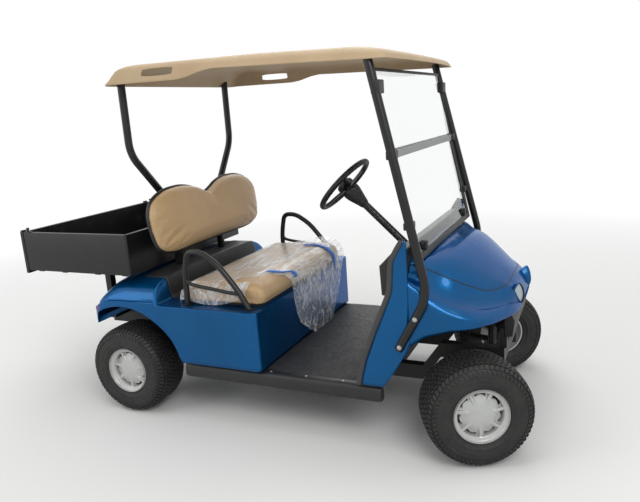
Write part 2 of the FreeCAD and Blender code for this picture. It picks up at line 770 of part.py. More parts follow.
def make_rear_body():
    """Hollow body over the rear wheels with the seat pod in front and an open battery bay on top."""
    shape = rear_solid(0, 0).cut(rear_solid(-s.body_wall, s.tail_z))
    arch = Part.makeCylinder(s.rear_arch, 2 * s.pod_half + 10, Vector(p.rear_x, -s.pod_half - 5, s.tyre_radius),
                             Vector(0, 1, 0))
    bay = cuboid((p.seat_rear + s.bay_margin, p.seat_rear + s.seat_depth - s.bay_margin),
                 (-s.bay_width / 2, s.bay_width / 2), (s.pod_z - 40, s.pod_z + 40))
    post_x = p.rear_x + s.post_ahead
    reach = s.post_size / 2 + s.seat_gap
    slots = [cuboid((post_x - reach, post_x + reach), (y - reach, y + reach), (s.sill_z, s.deck_z + 20))
             for y in (s.post_y, -s.post_y)]
    shape = shape.cut(arch).cut(bay).cut(Part.makeCompound(slots))
    return shape.multiFuse([mount for sign in (1, -1) for mount in seat_hinge_mounts(sign)]).removeSplitter()


feature("rear_body", make_rear_body())
battery = block("battery_pack", "pod_x - body_wall - 30 - battery_length", "-bay_width / 2 + 10",
                "rail_z + rail_height", "battery_length", "bay_width - 20", "battery_height")
keep("battery_pack", battery)
tail_lamps = [block(f"tail_lamp_{side}", "rear_x - tail_behind - tail_lamp_deep", y, "tail_lamp_z",
                    "tail_lamp_deep", "tail_lamp_size", "tail_lamp_size")
              for side, y in (("left", "tail_lamp_y"), ("right", "-tail_lamp_y - tail_lamp_size"))]
pair("tail_lights", tail_lamps)

# Seat


def make_seat_base():
    """Board under the cushion with a barrel on its rear edge for each hinge pin."""
    rear = p.seat_rear
    half = s.seat_half - s.base_inset
    low = s.pod_z + s.soft_gap
    shape = cuboid((rear, rear + s.seat_depth - s.base_inset), (-half, half), (low, low + s.base_thick))
    for sign in (1, -1):
        side = Vector(0, sign, 0)
        start = seat_hinge + side * s.seat_hinge_y
        end = seat_hinge + side * (s.seat_hinge_y + s.seat_hinge_long - s.hinge_play)
        span = sorted((start.y, end.y))
        web = cuboid((seat_hinge.x, rear + 1), span, (low + 1, low + s.base_thick - 1))
        bore = rod(start - side, end + side, s.seat_hinge_pin + s.running_gap)
        shape = shape.multiFuse([rod(start, end, barrel_radius), web]).cut(bore)
    return shape.removeSplitter()


feature("seat_base", make_seat_base())
cushion = doc.addObject("PartDesign::Body", "seat_bottom")
cushion_side = sketch_on(cushion, "XZ_Plane", "Side")
rear_edge = "seat_rear"
outline(cushion_side, [(rear_edge, "seat_z"), (f"{rear_edge} + seat_depth - 14", "seat_z"),
                       (f"{rear_edge} + seat_depth", "seat_z + seat_thick * 0.35"),
                       (f"{rear_edge} + seat_depth - 26", "seat_z + seat_thick * 0.9"),
                       (f"{rear_edge} + seat_depth - 110", "seat_z + seat_thick"),
                       (f"{rear_edge} + 12", "seat_z + seat_thick * 0.82")])
pad(cushion, cushion_side, "2 * seat_half", midplane=True)
keep("seat_bottom", cushion)


def back_outline(grow):
    """Two-lobed outline of the seat back in its own plane: Y across, Z up from the low edge."""
    half = s.back_half + grow
    tall = s.back_high_z - s.back_low_z
    lobe = half / 2
    right = [Vector(0, 0, -grow), Vector(0, half * 0.72, -grow)]
    points = {
        "corner": Vector(0, half * 0.93, tall * 0.09 - grow), "side": Vector(0, half, tall * 0.52),
        "brow": Vector(0, half * 0.88, tall * 0.86 + grow), "top": Vector(0, lobe, tall + grow),
        "valley": Vector(0, 0, tall - s.back_valley + grow)}
    dip = Vector(0, lobe * 0.45, tall - s.back_valley * 0.28 + grow)
    edges = [Part.LineSegment(right[0], right[1]).toShape(),
             Part.Arc(right[1], points["corner"], points["side"]).toShape(),
             Part.Arc(points["side"], points["brow"], points["top"]).toShape(),
             Part.Arc(points["top"], dip, points["valley"]).toShape()]
    return edges


def make_back(grow, thick):
    edges = back_outline(grow)
    flip = Part.Wire(edges).mirror(Vector(0, 0, 0), Vector(0, 1, 0))
    wire = Part.Wire(Part.__sortEdges__(edges + flip.Edges))
    return Part.Face(wire).extrude(Vector(-thick, 0, 0))


back_place = Placement(Vector(p.rear_x + s.back_ahead, 0, s.back_low_z), Rotation(Vector(0, 1, 0), -s.back_lean))
feature("seat_back", make_back(0, s.back_thick), back_place)
behind_back = Placement(Vector(-s.back_thick - s.soft_gap, 0, 0), Rotation())
feature("seat_back_shell", make_back(-6, s.shell_thick), back_place.multiply(behind_back))


def make_seat_frame():
    """Two square posts from the frame rails up behind the seat back, tied across."""
    size = s.post_size
    x = p.rear_x + s.post_ahead
    top = rear_rail_z + s.rail_height
    posts = [cuboid((x - size / 2, x + size / 2), (y - size / 2, y + size / 2), (top, s.post_top_z))
             for y in (s.post_y, -s.post_y)]
    lean = math.tan(math.radians(s.back_lean))
    parts = list(posts[1:])
    for z in (s.back_low_z + 60, s.back_low_z + 230):
        deep = (s.back_thick + s.shell_thick + s.soft_gap) / math.cos(math.radians(s.back_lean))
        face_x = p.rear_x + s.back_ahead - deep - (z + 12 - s.back_low_z) * lean - s.seat_gap
        parts.append(cuboid((x, face_x), (-s.post_y - size / 2, s.post_y + size / 2), (z - 12, z + 12)))
    return posts[0].multiFuse(parts).removeSplitter()


feature("seat_frame", make_seat_frame())


def make_hip_loop():
    """Closed tube loop beside the cushion: rear post, arm rest, slanted front leg and a lower bar."""
    # distance ahead of the rear axle and height over the pod
    bends = [(s.loop_front, -20), (s.loop_front - 70, 112), (s.loop_front - 165, 218), (s.loop_rear + 74, 262),
             (s.loop_rear + 9, 240), (s.loop_rear, -20)]
    points = [Vector(p.rear_x + ahead, p.loop_y, s.pod_z + up) for ahead, up in bends]
    loop = tube(points, s.loop_radius, 70)
    bar = rod(Vector(p.rear_x + s.loop_rear, p.loop_y, s.pod_z + s.loop_bar_rise),
              Vector(p.rear_x + s.loop_front - 28, p.loop_y, s.pod_z + s.loop_bar_rise - 46), s.loop_bar_radius)
    room = s.loop_radius + 10
    below = cuboid((p.rear_x + s.loop_rear - room, p.rear_x + s.loop_front + room),
                   (p.loop_y - room, p.loop_y + room), (s.pod_z - 60, s.pod_z))
    return loop.fuse(bar).cut(below).removeSplitter()


feature("hip_restraints", both_sides(make_hip_loop()))


# Canopy

def roof_section(x, low, half, crown, drop):
    """Closed roof section at one X: skirt, crowned top, and back along the bottom."""
    brim = 26
    wire = [Part.LineSegment(Vector(x, -half, low), Vector(x, -half + 6, low + brim)).toShape(),
            Part.Arc(Vector(x, -half + 6, low + brim), Vector(x, -half + 50, low + crown * 0.72),
                     Vector(x, -half + 130, low + crown * 0.86)).toShape(),
            Part.Arc(Vector(x, -half + 130, low + crown * 0.86), Vector(x, 0, low + crown),
                     Vector(x, half - 130, low + crown * 0.86)).toShape(),
            Part.Arc(Vector(x, half - 130, low + crown * 0.86), Vector(x, half - 50, low + crown * 0.72),
                     Vector(x, half - 6, low + brim)).toShape(),
            Part.LineSegment(Vector(x, half - 6, low + brim), Vector(x, half, low)).toShape(),
            Part.LineSegment(Vector(x, half, low), Vector(x, -half, low)).toShape()]
    section = Part.Wire(wire)
    section.translate(Vector(0, 0, -drop))
    return section


def roof_plan(grow):
    """Upright prism of the roof's plan: bowed front edge and rounded corners."""
    start = p.rear_x + s.roof_rear_ahead - grow
    end = p.front_x - s.roof_front_behind + grow
    half = s.roof_half + grow
    low = s.roof_front_z - 200
    corners = [Vector(end - s.roof_bow, half, low), Vector(start, half, low), Vector(start, -half, low),
               Vector(end - s.roof_bow, -half, low)]
    bow = Part.Arc(corners[3], Vector(end, 0, low), corners[0]).toShape()
    face = Part.Face(Part.Wire(Part.makePolygon(corners).Edges + [bow]))
    prism = face.extrude(Vector(0, 0, 600))
    upright = [edge for edge in prism.Edges if edge.BoundBox.ZLength > 500]
    front = [edge for edge in upright if edge.BoundBox.XMin > start + 100]
    rear = [edge for edge in upright if edge.BoundBox.XMin < start + 100]
    return prism.makeFillet(s.roof_front_corner + grow, front).makeFillet(s.roof_rear_corner + grow, rear)


def make_roof():
    """Crowned canopy: an outer loft less an inner one, open underneath, with a hand slot each side."""
    start = p.rear_x + s.roof_rear_ahead
    end = p.front_x - s.roof_front_behind
    rise = s.roof_front_z - s.roof_rear_z
    # share of the length, share of the full crown
    stations = [(0.0, 0.62), (0.08, 1.0), (0.55, 1.0), (0.9, 0.8), (1.0, 0.5)]
    wall = s.roof_wall
    outer = []
    inner = []
    for share, crown in stations:
        x = start + (end - start) * share
        low = s.roof_rear_z + rise * share
        outer.append(roof_section(x, low, s.roof_half, s.roof_crown * crown, 0))
        inner.append(roof_section(x, low, s.roof_half - wall, s.roof_crown * crown, wall))
    solid = Part.makeLoft(outer, True, True).common(roof_plan(0))
    shell = solid.cut(Part.makeLoft(inner, True, True).common(roof_plan(-wall)))
    slot_x = (p.rear_x + s.slot_ahead, p.rear_x + s.slot_ahead + s.slot_length)
    slot_z = (s.roof_rear_z + s.slot_rise, s.roof_rear_z + s.slot_rise + s.slot_height)
    slot = cuboid(slot_x, (s.roof_half - 90, s.roof_half + 10), slot_z)
    slot = slot.makeFillet(s.slot_height * 0.45, [e for e in slot.Edges if e.BoundBox.YLength > 50])
    return shell.cut(slot).cut(mirrored(slot))


roof_shape = make_roof()
feature("roof", roof_shape)


def make_rear_strut():
    bend = Vector(p.rear_x + s.strut_rear_ahead, s.strut_rear_y, s.bend_z)
    post_x = p.rear_x + s.post_ahead
    foot = Vector(post_x, s.post_y + s.post_size / 2 - 4, s.post_top_z - 24)
    top = Vector(p.rear_x + s.strut_rear_ahead, s.strut_rear_y, s.roof_rear_z + s.roof_crown)
    return tube([top, bend, foot], s.strut_radius, 90)


def under_roof(strut):
    """Cut a strut off just under the roof's skin."""
    skin = roof_shape.translated(Vector(0, 0, -s.seat_gap))
    return min(strut.cut(skin).Solids, key=lambda solid: solid.BoundBox.ZMin)


strut = under_roof(make_rear_strut().cut(nodes["seat_frame"].Shape))
feature("rear_struts", both_sides(strut))


def make_front_strut():
    top = Vector(p.front_x - s.strut_top_behind, s.strut_front_y, s.roof_front_z + s.roof_crown)
    knee = Vector(p.front_x - s.strut_knee_behind, s.strut_foot_y, s.strut_knee_z)
    foot = Vector(p.front_x - s.strut_foot_behind, s.strut_foot_y, s.strut_foot_z)
    bar = tube([top, knee, foot], s.strut_radius, 70)
    # a spacer at each bolt, from the bar to the side panel
    for share in (0.4, 0.93):
        centre = knee + (foot - knee) * share
        panel = Vector(centre.x, s.cowl_half + s.seat_gap, centre.z)
        bar = bar.fuse(rod(panel, centre, s.spacer_radius))
    return bar.removeSplitter()


feature("front_struts", both_sides(under_roof(make_front_strut())))


# Windscreen

def pane(x_low, z_low, x_high, z_high):
    thick = s.glass_thick
    return profile_prism([(x_low, z_low), (x_high, z_high), (x_high + thick, z_high), (x_low + thick, z_low)],
                         -s.glass_half, s.glass_half)


glass_mid_x = p.front_x - s.glass_mid_behind
glass_low_x = p.front_x - s.glass_low_behind
glass_top_x = p.front_x - s.strut_top_behind + 30
half_strip = s.strip_height / 2
slope_up = (glass_top_x - glass_mid_x) / (s.glass_top_z - s.glass_mid_z)
slope_low = (glass_mid_x - glass_low_x) / (s.glass_mid_z - s.glass_low_z)
feature("windscreen_upper", pane(glass_mid_x + slope_up * half_strip, s.glass_mid_z + half_strip,
                                 glass_top_x, s.glass_top_z))
lower_pane = pane(glass_low_x, s.glass_low_z, glass_mid_x - slope_low * half_strip, s.glass_mid_z - half_strip)


def make_strip():
    """Hinge strip that holds the two panes' meeting edges."""
    return cuboid((glass_mid_x - 6, glass_mid_x + s.glass_thick + 6), (-s.glass_half, s.glass_half),
                  (s.glass_mid_z - half_strip, s.glass_mid_z + half_strip))


feature("windscreen_strip", make_strip())


# Front cowl

# Each row is one section of the cowl: its place along the length, then pairs of an outward share of the
# half width and an upward share of the height, for the hood's flat, its edge and the brow under it.
cowl_rows = [
    {"along": 0.0, "crest": 1.02, "flat": (0.74, 1.0), "edge": (0.90, 0.89), "brow": (0.985, 0.68), "side": 1.0},
    {"along": 0.12, "crest": 0.985, "flat": (0.72, 0.955), "edge": (0.88, 0.84), "brow": (0.975, 0.58), "side": 1.0},
    {"along": 0.25, "crest": 0.93, "flat": (0.58, 0.855), "edge": (0.78, 0.69), "brow": (0.955, 0.45), "side": 1.0},
    {"along": 0.42, "crest": 0.86, "flat": (0.50, 0.775), "edge": (0.73, 0.57), "brow": (0.93, 0.335), "side": 0.995},
    {"along": 0.57, "crest": 0.77, "flat": (0.43, 0.675), "edge": (0.64, 0.45), "brow": (0.885, 0.27), "side": 0.975},
    {"along": 0.70, "crest": 0.67, "flat": (0.36, 0.59), "edge": (0.55, 0.37), "brow": (0.80, 0.21), "side": 0.915},
    {"along": 0.80, "crest": 0.575, "flat": (0.30, 0.515), "edge": (0.47, 0.35), "brow": (0.69, 0.18), "side": 0.80},
    {"along": 0.88, "crest": 0.495, "flat": (0.27, 0.45), "edge": (0.41, 0.35), "brow": (0.56, 0.16), "side": 0.66},
    {"along": 0.94, "crest": 0.41, "flat": (0.25, 0.38), "edge": (0.36, 0.31), "brow": (0.46, 0.14), "side": 0.53},
    {"along": 0.98, "crest": 0.24, "flat": (0.20, 0.225), "edge": (0.28, 0.19), "brow": (0.35, 0.10), "side": 0.41},
    {"along": 1.0, "crest": 0.10, "flat": (0.13, 0.095), "edge": (0.20, 0.085), "brow": (0.25, 0.06), "side": 0.30},
]


def cowl_section(x, row, inset):
    """Closed section at one X: side, brow, hollow band up to the hood's edge, and the hood over the middle."""
    half = s.cowl_half - inset
    tall = s.hood_rear_z - s.cowl_low_z

    def spot(out, up):
        return Vector(x, -half * out, s.cowl_low_z + tall * up - inset)
    flat = spot(*row["flat"])
    edge = spot(*row["edge"])
    brow = spot(*row["brow"])
    top = spot(0, row["crest"])
    side_top = Vector(x, -half * row["side"], brow.z - 14)
    side_low = Vector(x, -half * row["side"], s.sill_z - 20)
    band = (edge + brow) / 2 + Vector(0, 6, -10) * (row["side"] * 0.8)
    hip = (flat + edge) / 2 + Vector(0, -6, 8) * row["side"]
    left = [Part.LineSegment(side_low, side_top).toShape(), Part.LineSegment(side_top, brow).toShape(),
            Part.Arc(brow, band, edge).toShape(), Part.Arc(edge, hip, flat).toShape()]
    right = [e.mirror(Vector(0, 0, 0), Vector(0, 1, 0)) for e in left]
    crown = Part.Arc(flat, top, Vector(x, -flat.y, flat.z)).toShape()
    base = Part.LineSegment(Vector(x, -side_low.y, side_low.z), side_low).toShape()
    return Part.Wire(Part.__sortEdges__(left + [crown] + right + [base]))


def make_cowl_solid(inset):
    """Loft from the windscreen base to the nose."""
    rear = p.front_x - s.cowl_rear_behind
    length = s.cowl_nose_ahead + s.cowl_rear_behind
    wires = []
    for row in cowl_rows:
        x = rear + length * row["along"]
        if inset > 0 and row["along"] == 1.0:
            x -= inset
        wires.append(cowl_section(x, row, inset))
    return Part.makeLoft(wires, True, True)


def make_cowl():
    """The shell of the loft, cut to its lower edge, with the two lamp pods."""
    outer = make_cowl_solid(0)
    rear = p.front_x - s.cowl_rear_behind
    nose = p.front_x + s.cowl_nose_ahead
    keep_side = profile_prism([(rear - 1, s.hood_rear_z + 60), (rear - 1, 480), (p.front_x - 150, 535),
                               (p.front_x - 42, 569), (p.front_x + 68, 578), (nose + 5, s.cowl_low_z),
                               (nose + 5, s.hood_rear_z + 60)], -700, 700)
    core = make_cowl_solid(s.cowl_wall)
    pods = both_sides(lamp_prism(s.pod_margin, -s.pod_depth, 0)).cut(core)
    return outer.cut(core).common(keep_side).multiFuse(pods.Solids)


def lamp_prism(grow, start, end):
    """The leaf outline of a lamp, pushed along its facing direction between two distances from the lens."""
    tall = s.lamp_height / 2 + grow
    wide = s.lamp_width / 2 + grow
    turn = Rotation(Vector(0, 0, 1), -s.lamp_turn)
    centre = Vector(p.front_x + s.lamp_ahead, -s.lamp_y, s.lamp_z)
    across = turn.multVec(Vector(0, 1, 0))
    facing = turn.multVec(Vector(1, 0, 0))
    up = Vector(0, 0, 1)
    tips = [centre + up * tall + across * (wide * 0.2), centre - across * wide + up * (tall * 0.1),
            centre - up * tall - across * (wide * 0.2), centre + across * wide - up * (tall * 0.1)]
    middles = [(a + b) / 2 + ((a + b) / 2 - centre) * 0.25 for a, b in zip(tips, tips[1:] + tips[:1])]
    sides = [Part.Arc(a, m, b).toShape() for a, m, b in zip(tips, middles, tips[1:] + tips[:1])]
    face = Part.Face(Part.Wire(sides))
    face.translate(facing * start)
    return face.extrude(facing * (end - start))


def make_leg_shield():
    """Side panel behind the cowl, from the foot of the windscreen down to the floor."""
    # distance behind the front axle and height
    corners = [(214, 925), (232, 925), (281, 841), (290, 712), (305, 682), (363, 547), (420, 400), (444, s.sill_z),
               (336, s.sill_z), (214, 484)]
    return profile_prism([(p.front_x - behind, z) for behind, z in corners],
                         s.cowl_half - s.cowl_wall, s.cowl_half)


lower_pane = lower_pane.cut(make_cowl_solid(-s.seat_gap))
feature("windscreen_lower", max(lower_pane.Solids, key=lambda solid: solid.Volume))
cowl = make_cowl().multiFuse([make_leg_shield(), mirrored(make_leg_shield())]).removeSplitter()


lamp = lamp_prism(-s.lamp_gap, -s.lamp_depth, -s.lamp_recess)
feature("headlights", both_sides(lamp))
for hole in both_sides(lamp_prism(0, -s.lamp_depth - s.lamp_gap, 1)).Solids:
    cowl = cowl.cut(hole)
feature("front_cowl", cowl)


def make_bumper():
    x = p.front_x + s.rail_nose
    corners = [(x, s.bumper_low_z), (x + 34, s.bumper_low_z + 6), (x + 44, s.bumper_high_z - 30),
               (x + 30, s.bumper_high_z), (x, s.bumper_high_z)]
    face = profile_prism(corners, -s.bumper_half, s.bumper_half)
    stays = [cuboid((x - 20, x + 10), (y - 20, y + 20), (front_rail_z + s.rail_height, s.bumper_low_z + 40))
             for y in (s.rail_y - 4, -s.rail_y + 4)]
    return face.multiFuse(stays).removeSplitter()


feature("front_bumper", make_bumper())


# Dash, column and pedals

column_axis = Vector(math.cos(math.radians(s.column_tilt)), 0, -math.sin(math.radians(s.column_tilt)))
wheel_hub = Vector(p.front_x - s.hub_behind, s.column_y, s.hub_z)


def make_dash():
    """Moulded dash across the cowl with an open pocket each side of the middle."""
    x = p.front_x
    rear = x - s.dash_rear_behind
    top = s.dash_top_z
    corners = [(x - s.cowl_rear_behind - 6, top), (x - 290, top - 16), (rear, top - 70),
               (rear + 6, s.firewall_z), (x - s.cowl_rear_behind - 6, s.firewall_z)]
    shape = profile_prism(corners, -s.dash_half, s.dash_half)
    for y in (70, -70 - s.pocket_width):
        shape = shape.cut(cuboid((rear - 10, rear + s.pocket_depth), (y, y + s.pocket_width),
                                 (s.firewall_z + 14, s.firewall_z + 14 + s.pocket_height)))
    return shape


dash = make_dash()
column_end = wheel_hub + column_axis * ((fire_x - s.pan_thick - wheel_hub.x) / column_axis.x)
column = rod(wheel_hub + column_axis * 34, column_end, s.column_radius).cut(nodes["floor_pan"].Shape)
feature("steering_column", max(column.Solids, key=lambda solid: solid.Volume))
feature("dash_panel", dash.cut(rod(wheel_hub, column_end, s.column_radius + 0.3)))


def make_steering_wheel():
    """Ring, three spokes and a hub, made flat and then turned onto the column."""
    ring = Part.makeTorus(s.wheel_ring, s.grip_radius)
    hub = Part.makeCylinder(46, 30, Vector(0, 0, -16))
    parts = [hub]
    for angle in (0, 120, 240):
        spoke = cuboid((0, s.wheel_ring), (-15, 15), (-6, 4))
        spoke.rotate(Vector(0, 0, 0), Vector(0, 0, 1), angle)
        parts.append(spoke)
    boss = Part.makeCylinder(s.column_radius, 20, Vector(0, 0, -33.7))
    return ring.multiFuse(parts + [boss]).removeSplitter()


turn = Rotation(Vector(0, 0, -1), column_axis)
feature("steering_wheel", make_steering_wheel(), Placement(wheel_hub, turn))


def make_pedals():
    """Brake and accelerator pads on arms that stand out from the toe board."""
    parts = []
    for y, wide in ((s.column_y - 130, 80), (s.column_y + 10, 60)):
        x = toe_x + 60
        z = pan_z + s.pan_thick + s.mat_thick + 70
        slope = (s.toe_z - pan_z) / (fire_x - toe_x)
        pad_plate = cuboid((-6, 6), (y - wide / 2, y + wide / 2), (-45, 45))
        arm = cuboid((0, 70), (y - 10, y + 10), (-8, 8))
        pedal = pad_plate.fuse(arm)
        pedal.rotate(Vector(0, 0, 0), Vector(0, 1, 0), 40)
        pedal.translate(Vector(x - 30, 0, z + 10 * slope))
        pedal = pedal.cut(nodes["floor_mat"].Shape).cut(nodes["floor_pan"].Shape)
        parts.append(max(pedal.Solids, key=lambda solid: solid.Volume))
    return Part.makeCompound(parts)


feature("pedals", make_pedals())


# Cargo box

box_rear = p.rear_x - s.rear_overhang + s.gate_thick
hinge_places = (-s.box_half + 60, s.box_half - 60 - s.hinge_long)


def make_cargo_box():
    """Open box without its rear wall, with a flanged rim."""
    front = p.rear_x + s.box_ahead
    outer = cuboid((box_rear + s.gate_gap, front), (-s.box_half, s.box_half), (s.box_z, s.box_z + s.box_height))
    inner = cuboid((box_rear - 50, front - s.box_wall), (-s.box_half + s.box_wall, s.box_half - s.box_wall),
                   (s.box_z + s.box_floor, s.box_z + s.box_height + 50))
    shape = outer.cut(inner)
    for y in hinge_places:
        lug = cuboid((box_rear - s.hinge_pin - 3, box_rear + s.gate_gap + 60), (y - 5, y + 5), (s.box_z - 16, s.box_z))
        pin = rod(Vector(box_rear, y, p.hinge_z), Vector(box_rear, y + s.hinge_long, p.hinge_z), s.hinge_pin)
        shape = shape.multiFuse([lug, pin])
    return shape.removeSplitter()


def make_tailgate():
    """Flat gate with a barrel on its lower front edge for each hinge pin."""
    rear = p.rear_x - s.rear_overhang
    shape = cuboid((rear, box_rear), (-s.box_half, s.box_half), (s.box_z - s.gate_drop, s.box_z + s.box_height))
    for y in hinge_places:
        shape = shape.cut(cuboid((box_rear - 14, box_rear + 1), (y - 8, y + s.hinge_long + 2),
                                 (s.box_z - s.gate_drop - 1, s.box_z + 8)))
        barrel = rod(Vector(box_rear, y + 8, p.hinge_z), Vector(box_rear, y + s.hinge_long - 3, p.hinge_z), 8)
        web = cuboid((box_rear - 15, box_rear - 2), (y + 8, y + s.hinge_long - 3), (p.hinge_z - 6, p.hinge_z + 6))
        bore = rod(Vector(box_rear, y + 7, p.hinge_z), Vector(box_rear, y + s.hinge_long, p.hinge_z),
                   s.hinge_pin + s.running_gap)
        shape = shape.multiFuse([barrel, web]).cut(bore)
    return shape.removeSplitter()


feature("cargo_box", make_cargo_box())
feature("tailgate", make_tailgate())
leg_low = rear_rail_z + s.rail_height
leg_x = p.rear_x - s.leg_behind
legs = [cuboid((leg_x - s.leg_size / 2, leg_x + s.leg_size / 2), (y - s.leg_size / 2, y + s.leg_size / 2),
               (leg_low, s.box_z)) for y in (s.leg_y, -s.leg_y)]
beam = cuboid((leg_x - s.leg_size / 2, leg_x + s.leg_size / 2), (-s.leg_y, s.leg_y), (leg_low, leg_low + s.leg_size))
feature("cargo_supports", beam.multiFuse(legs).removeSplitter())


doc.recompute()
for obj in doc.Objects:
    if "Invalid" in obj.State or "Error" in obj.State:
        raise RuntimeError(f"{obj.Label} failed: {obj.State}")
for label, obj in nodes.items():
    if obj.Shape.isNull() or not obj.Shape.isValid():
        raise RuntimeError(f"{label} has no valid shape")

os.makedirs("parts", exist_ok=True)
for label, obj in nodes.items():
    obj.Shape.exportStep(f"parts/{label}.step")
print(len(nodes), "sub-parts written")
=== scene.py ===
import json
import math

import bmesh
import bpy
import numpy as np
from mathutils import Matrix, Vector
from mathutils.bvhtree import BVHTree

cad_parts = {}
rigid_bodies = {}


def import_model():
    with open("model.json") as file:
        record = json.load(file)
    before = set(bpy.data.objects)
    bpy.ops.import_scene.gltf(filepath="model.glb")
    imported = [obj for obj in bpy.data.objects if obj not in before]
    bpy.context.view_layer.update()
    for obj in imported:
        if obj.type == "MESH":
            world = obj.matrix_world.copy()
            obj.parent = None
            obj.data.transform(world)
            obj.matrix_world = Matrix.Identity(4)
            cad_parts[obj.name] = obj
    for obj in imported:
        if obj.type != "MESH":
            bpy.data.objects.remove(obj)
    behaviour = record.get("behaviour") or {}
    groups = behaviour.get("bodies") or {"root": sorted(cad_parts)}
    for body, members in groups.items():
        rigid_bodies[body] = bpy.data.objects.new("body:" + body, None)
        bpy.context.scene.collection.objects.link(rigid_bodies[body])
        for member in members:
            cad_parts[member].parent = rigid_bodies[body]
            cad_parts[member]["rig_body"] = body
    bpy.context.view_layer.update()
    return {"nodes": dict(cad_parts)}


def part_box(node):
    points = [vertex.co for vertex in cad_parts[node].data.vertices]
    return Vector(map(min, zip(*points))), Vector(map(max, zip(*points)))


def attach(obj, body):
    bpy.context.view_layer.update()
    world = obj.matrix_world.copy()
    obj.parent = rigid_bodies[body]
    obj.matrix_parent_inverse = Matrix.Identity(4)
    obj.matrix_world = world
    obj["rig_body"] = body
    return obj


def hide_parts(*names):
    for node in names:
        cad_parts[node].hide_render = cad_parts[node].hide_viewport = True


# Golf cart with a cargo box. Metres, +X forward, +Y to the cart's left, +Z up.
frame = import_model()
nodes = frame["nodes"]
print("frame loaded:", len(nodes), "nodes")


def middle(node):  # centre of a CAD node's box
    low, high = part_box(node)
    return (low + high) / 2


# places that the pieces share
rearX = middle("tyre_rear_right").x
wheelbase = 1.692
frontX = rearX + wheelbase
axleZ = middle("tyre_rear_right").z
sides = ((1, "left"), (-1, "right"))
nearAndFar = ((1, "near"), (-1, "far"))
corners = [(end, side) for end in ("front", "rear") for side in ("left", "right")]
acrossY = np.array([1, -1, 1])  # mirrors a point in the cart's middle plane
tiny = 0.0001  # radius at the tip of a turned shape


def unit(v):
    return v / np.maximum(np.linalg.norm(v, axis=-1, keepdims=True), 1e-12)


def eased(t):  # smooth step of a share from 0 to 1
    return t * t * (3 - 2 * t)


def stepUp(value, start, end):  # smooth rise from 0 to 1 between two values
    return eased(np.clip((value - start) / (end - start), 0, 1))


def parabola(a, pull, b, t):  # from a to b, drawn towards pull
    return (1 - t) ** 2 * a + 2 * t * (1 - t) * pull + t ** 2 * b


def lengthAlong(rows):  # distance from the first row to each
    return np.concatenate([[0], np.cumsum(np.linalg.norm(np.diff(rows, axis=0), axis=1))])


def smoothRows(rows, count):  # Catmull-Rom curve through the rows, even in row number, as one array
    rows = np.asarray(rows, float)
    last = len(rows) - 1
    place = np.linspace(0, last, count)
    i = np.clip(place.astype(int), 0, last - 1)
    wide = (...,) + (None,) * (rows.ndim - 1)
    t = (place - i)[wide]
    a, b, c, d = (rows[np.clip(i + k, 0, last)] for k in (-1, 0, 1, 2))
    a = np.where((i == 0)[wide], 2 * b - c, a)
    d = np.where((i == last - 1)[wide], 2 * c - b, d)
    return 0.5 * (2 * b + (c - a) * t + (2 * a - 5 * b + 4 * c - d) * t ** 2 + (3 * b - a - 3 * c + d) * t ** 3)


def roundCorners(points, reach, steps=6):  # each inner corner becomes a parabola that starts `reach` before it
    points = np.asarray(points, float)
    reach = np.broadcast_to(reach, len(points))
    out = [points[:1]]
    for i in range(1, len(points) - 1):
        before, corner, after = points[i - 1], points[i], points[i + 1]
        r = min(reach[i], 0.45 * np.linalg.norm(before - corner), 0.45 * np.linalg.norm(after - corner))
        a = corner + unit(before - corner) * r
        b = corner + unit(after - corner) * r
        out.append(parabola(a, corner, b, np.linspace(0, 1, steps)[:, None]))
    return np.concatenate(out + [points[-1:]])


def carried(path, profile, up=(0, 0, 1)):  # profile points (across, up) carried along the path
    path = np.asarray(path, float)
    ahead = unit(np.gradient(path, axis=0))
    across = unit(np.cross(ahead, np.broadcast_to(np.asarray(up, float), ahead.shape)))
    over = np.cross(across, ahead)
    profile = np.broadcast_to(np.asarray(profile, float), (len(path),) + np.shape(profile)[-2:])
    return path[:, None] + across[:, None] * profile[..., :1] + over[:, None] * profile[..., 1:]


def gridFaces(rows, columns, closeRows=False, closeColumns=False, first=0):  # quads between neighbours
    i = np.arange(rows if closeRows else rows - 1)
    j = np.arange(columns if closeColumns else columns - 1)
    i, j = np.meshgrid(i, j, indexing="ij")
    up, across = (i + 1) % rows, (j + 1) % columns
    quads = np.stack([i * columns + j, up * columns + j, up * columns + across, i * columns + across], -1)
    return (quads.reshape(-1, 4) + first).tolist()


def gridShape(grid, closeRows=False, closeColumns=False):  # grid of points to (points, faces)
    return grid.reshape(-1, 3), gridFaces(*grid.shape[:2], closeRows, closeColumns)


def closedTube(rings, ends=(True, True)):  # rings to (points, faces), with a face over the first and last ring
    points, faces = gridShape(rings, closeColumns=True)
    rows, columns = rings.shape[:2]
    if ends[0]:
        faces.append(list(range(columns))[::-1])
    if ends[1]:
        faces.append(list(range((rows - 1) * columns, rows * columns)))
    return points, faces


def roundTube(path, radius, count, up):  # closed tube of one radius along a path
    a = np.linspace(0, 2 * np.pi, count, endpoint=False)
    return closedTube(carried(path, np.stack([np.cos(a), np.sin(a)], -1) * radius, up))


def turned(profile, count, centre=(0, 0, 0), axis="y"):  # rings of (radius, along) round an axis
    profile = np.asarray(profile, float)
    a = np.linspace(0, 2 * np.pi, count, endpoint=False)
    ring = np.stack([np.cos(a), np.zeros_like(a), np.sin(a)], -1)
    points = profile[:, None, :1] * ring[None] + profile[:, None, 1:] * np.array([0, 1.0, 0])
    order = {"x": [1, 0, 2], "y": [0, 1, 2], "z": [0, 2, 1]}[axis]
    return points[..., order] + np.asarray(centre, float)


def spun(*shape, closeRows=False):  # a turned shape as (points, faces)
    return gridShape(turned(*shape), closeRows, True)


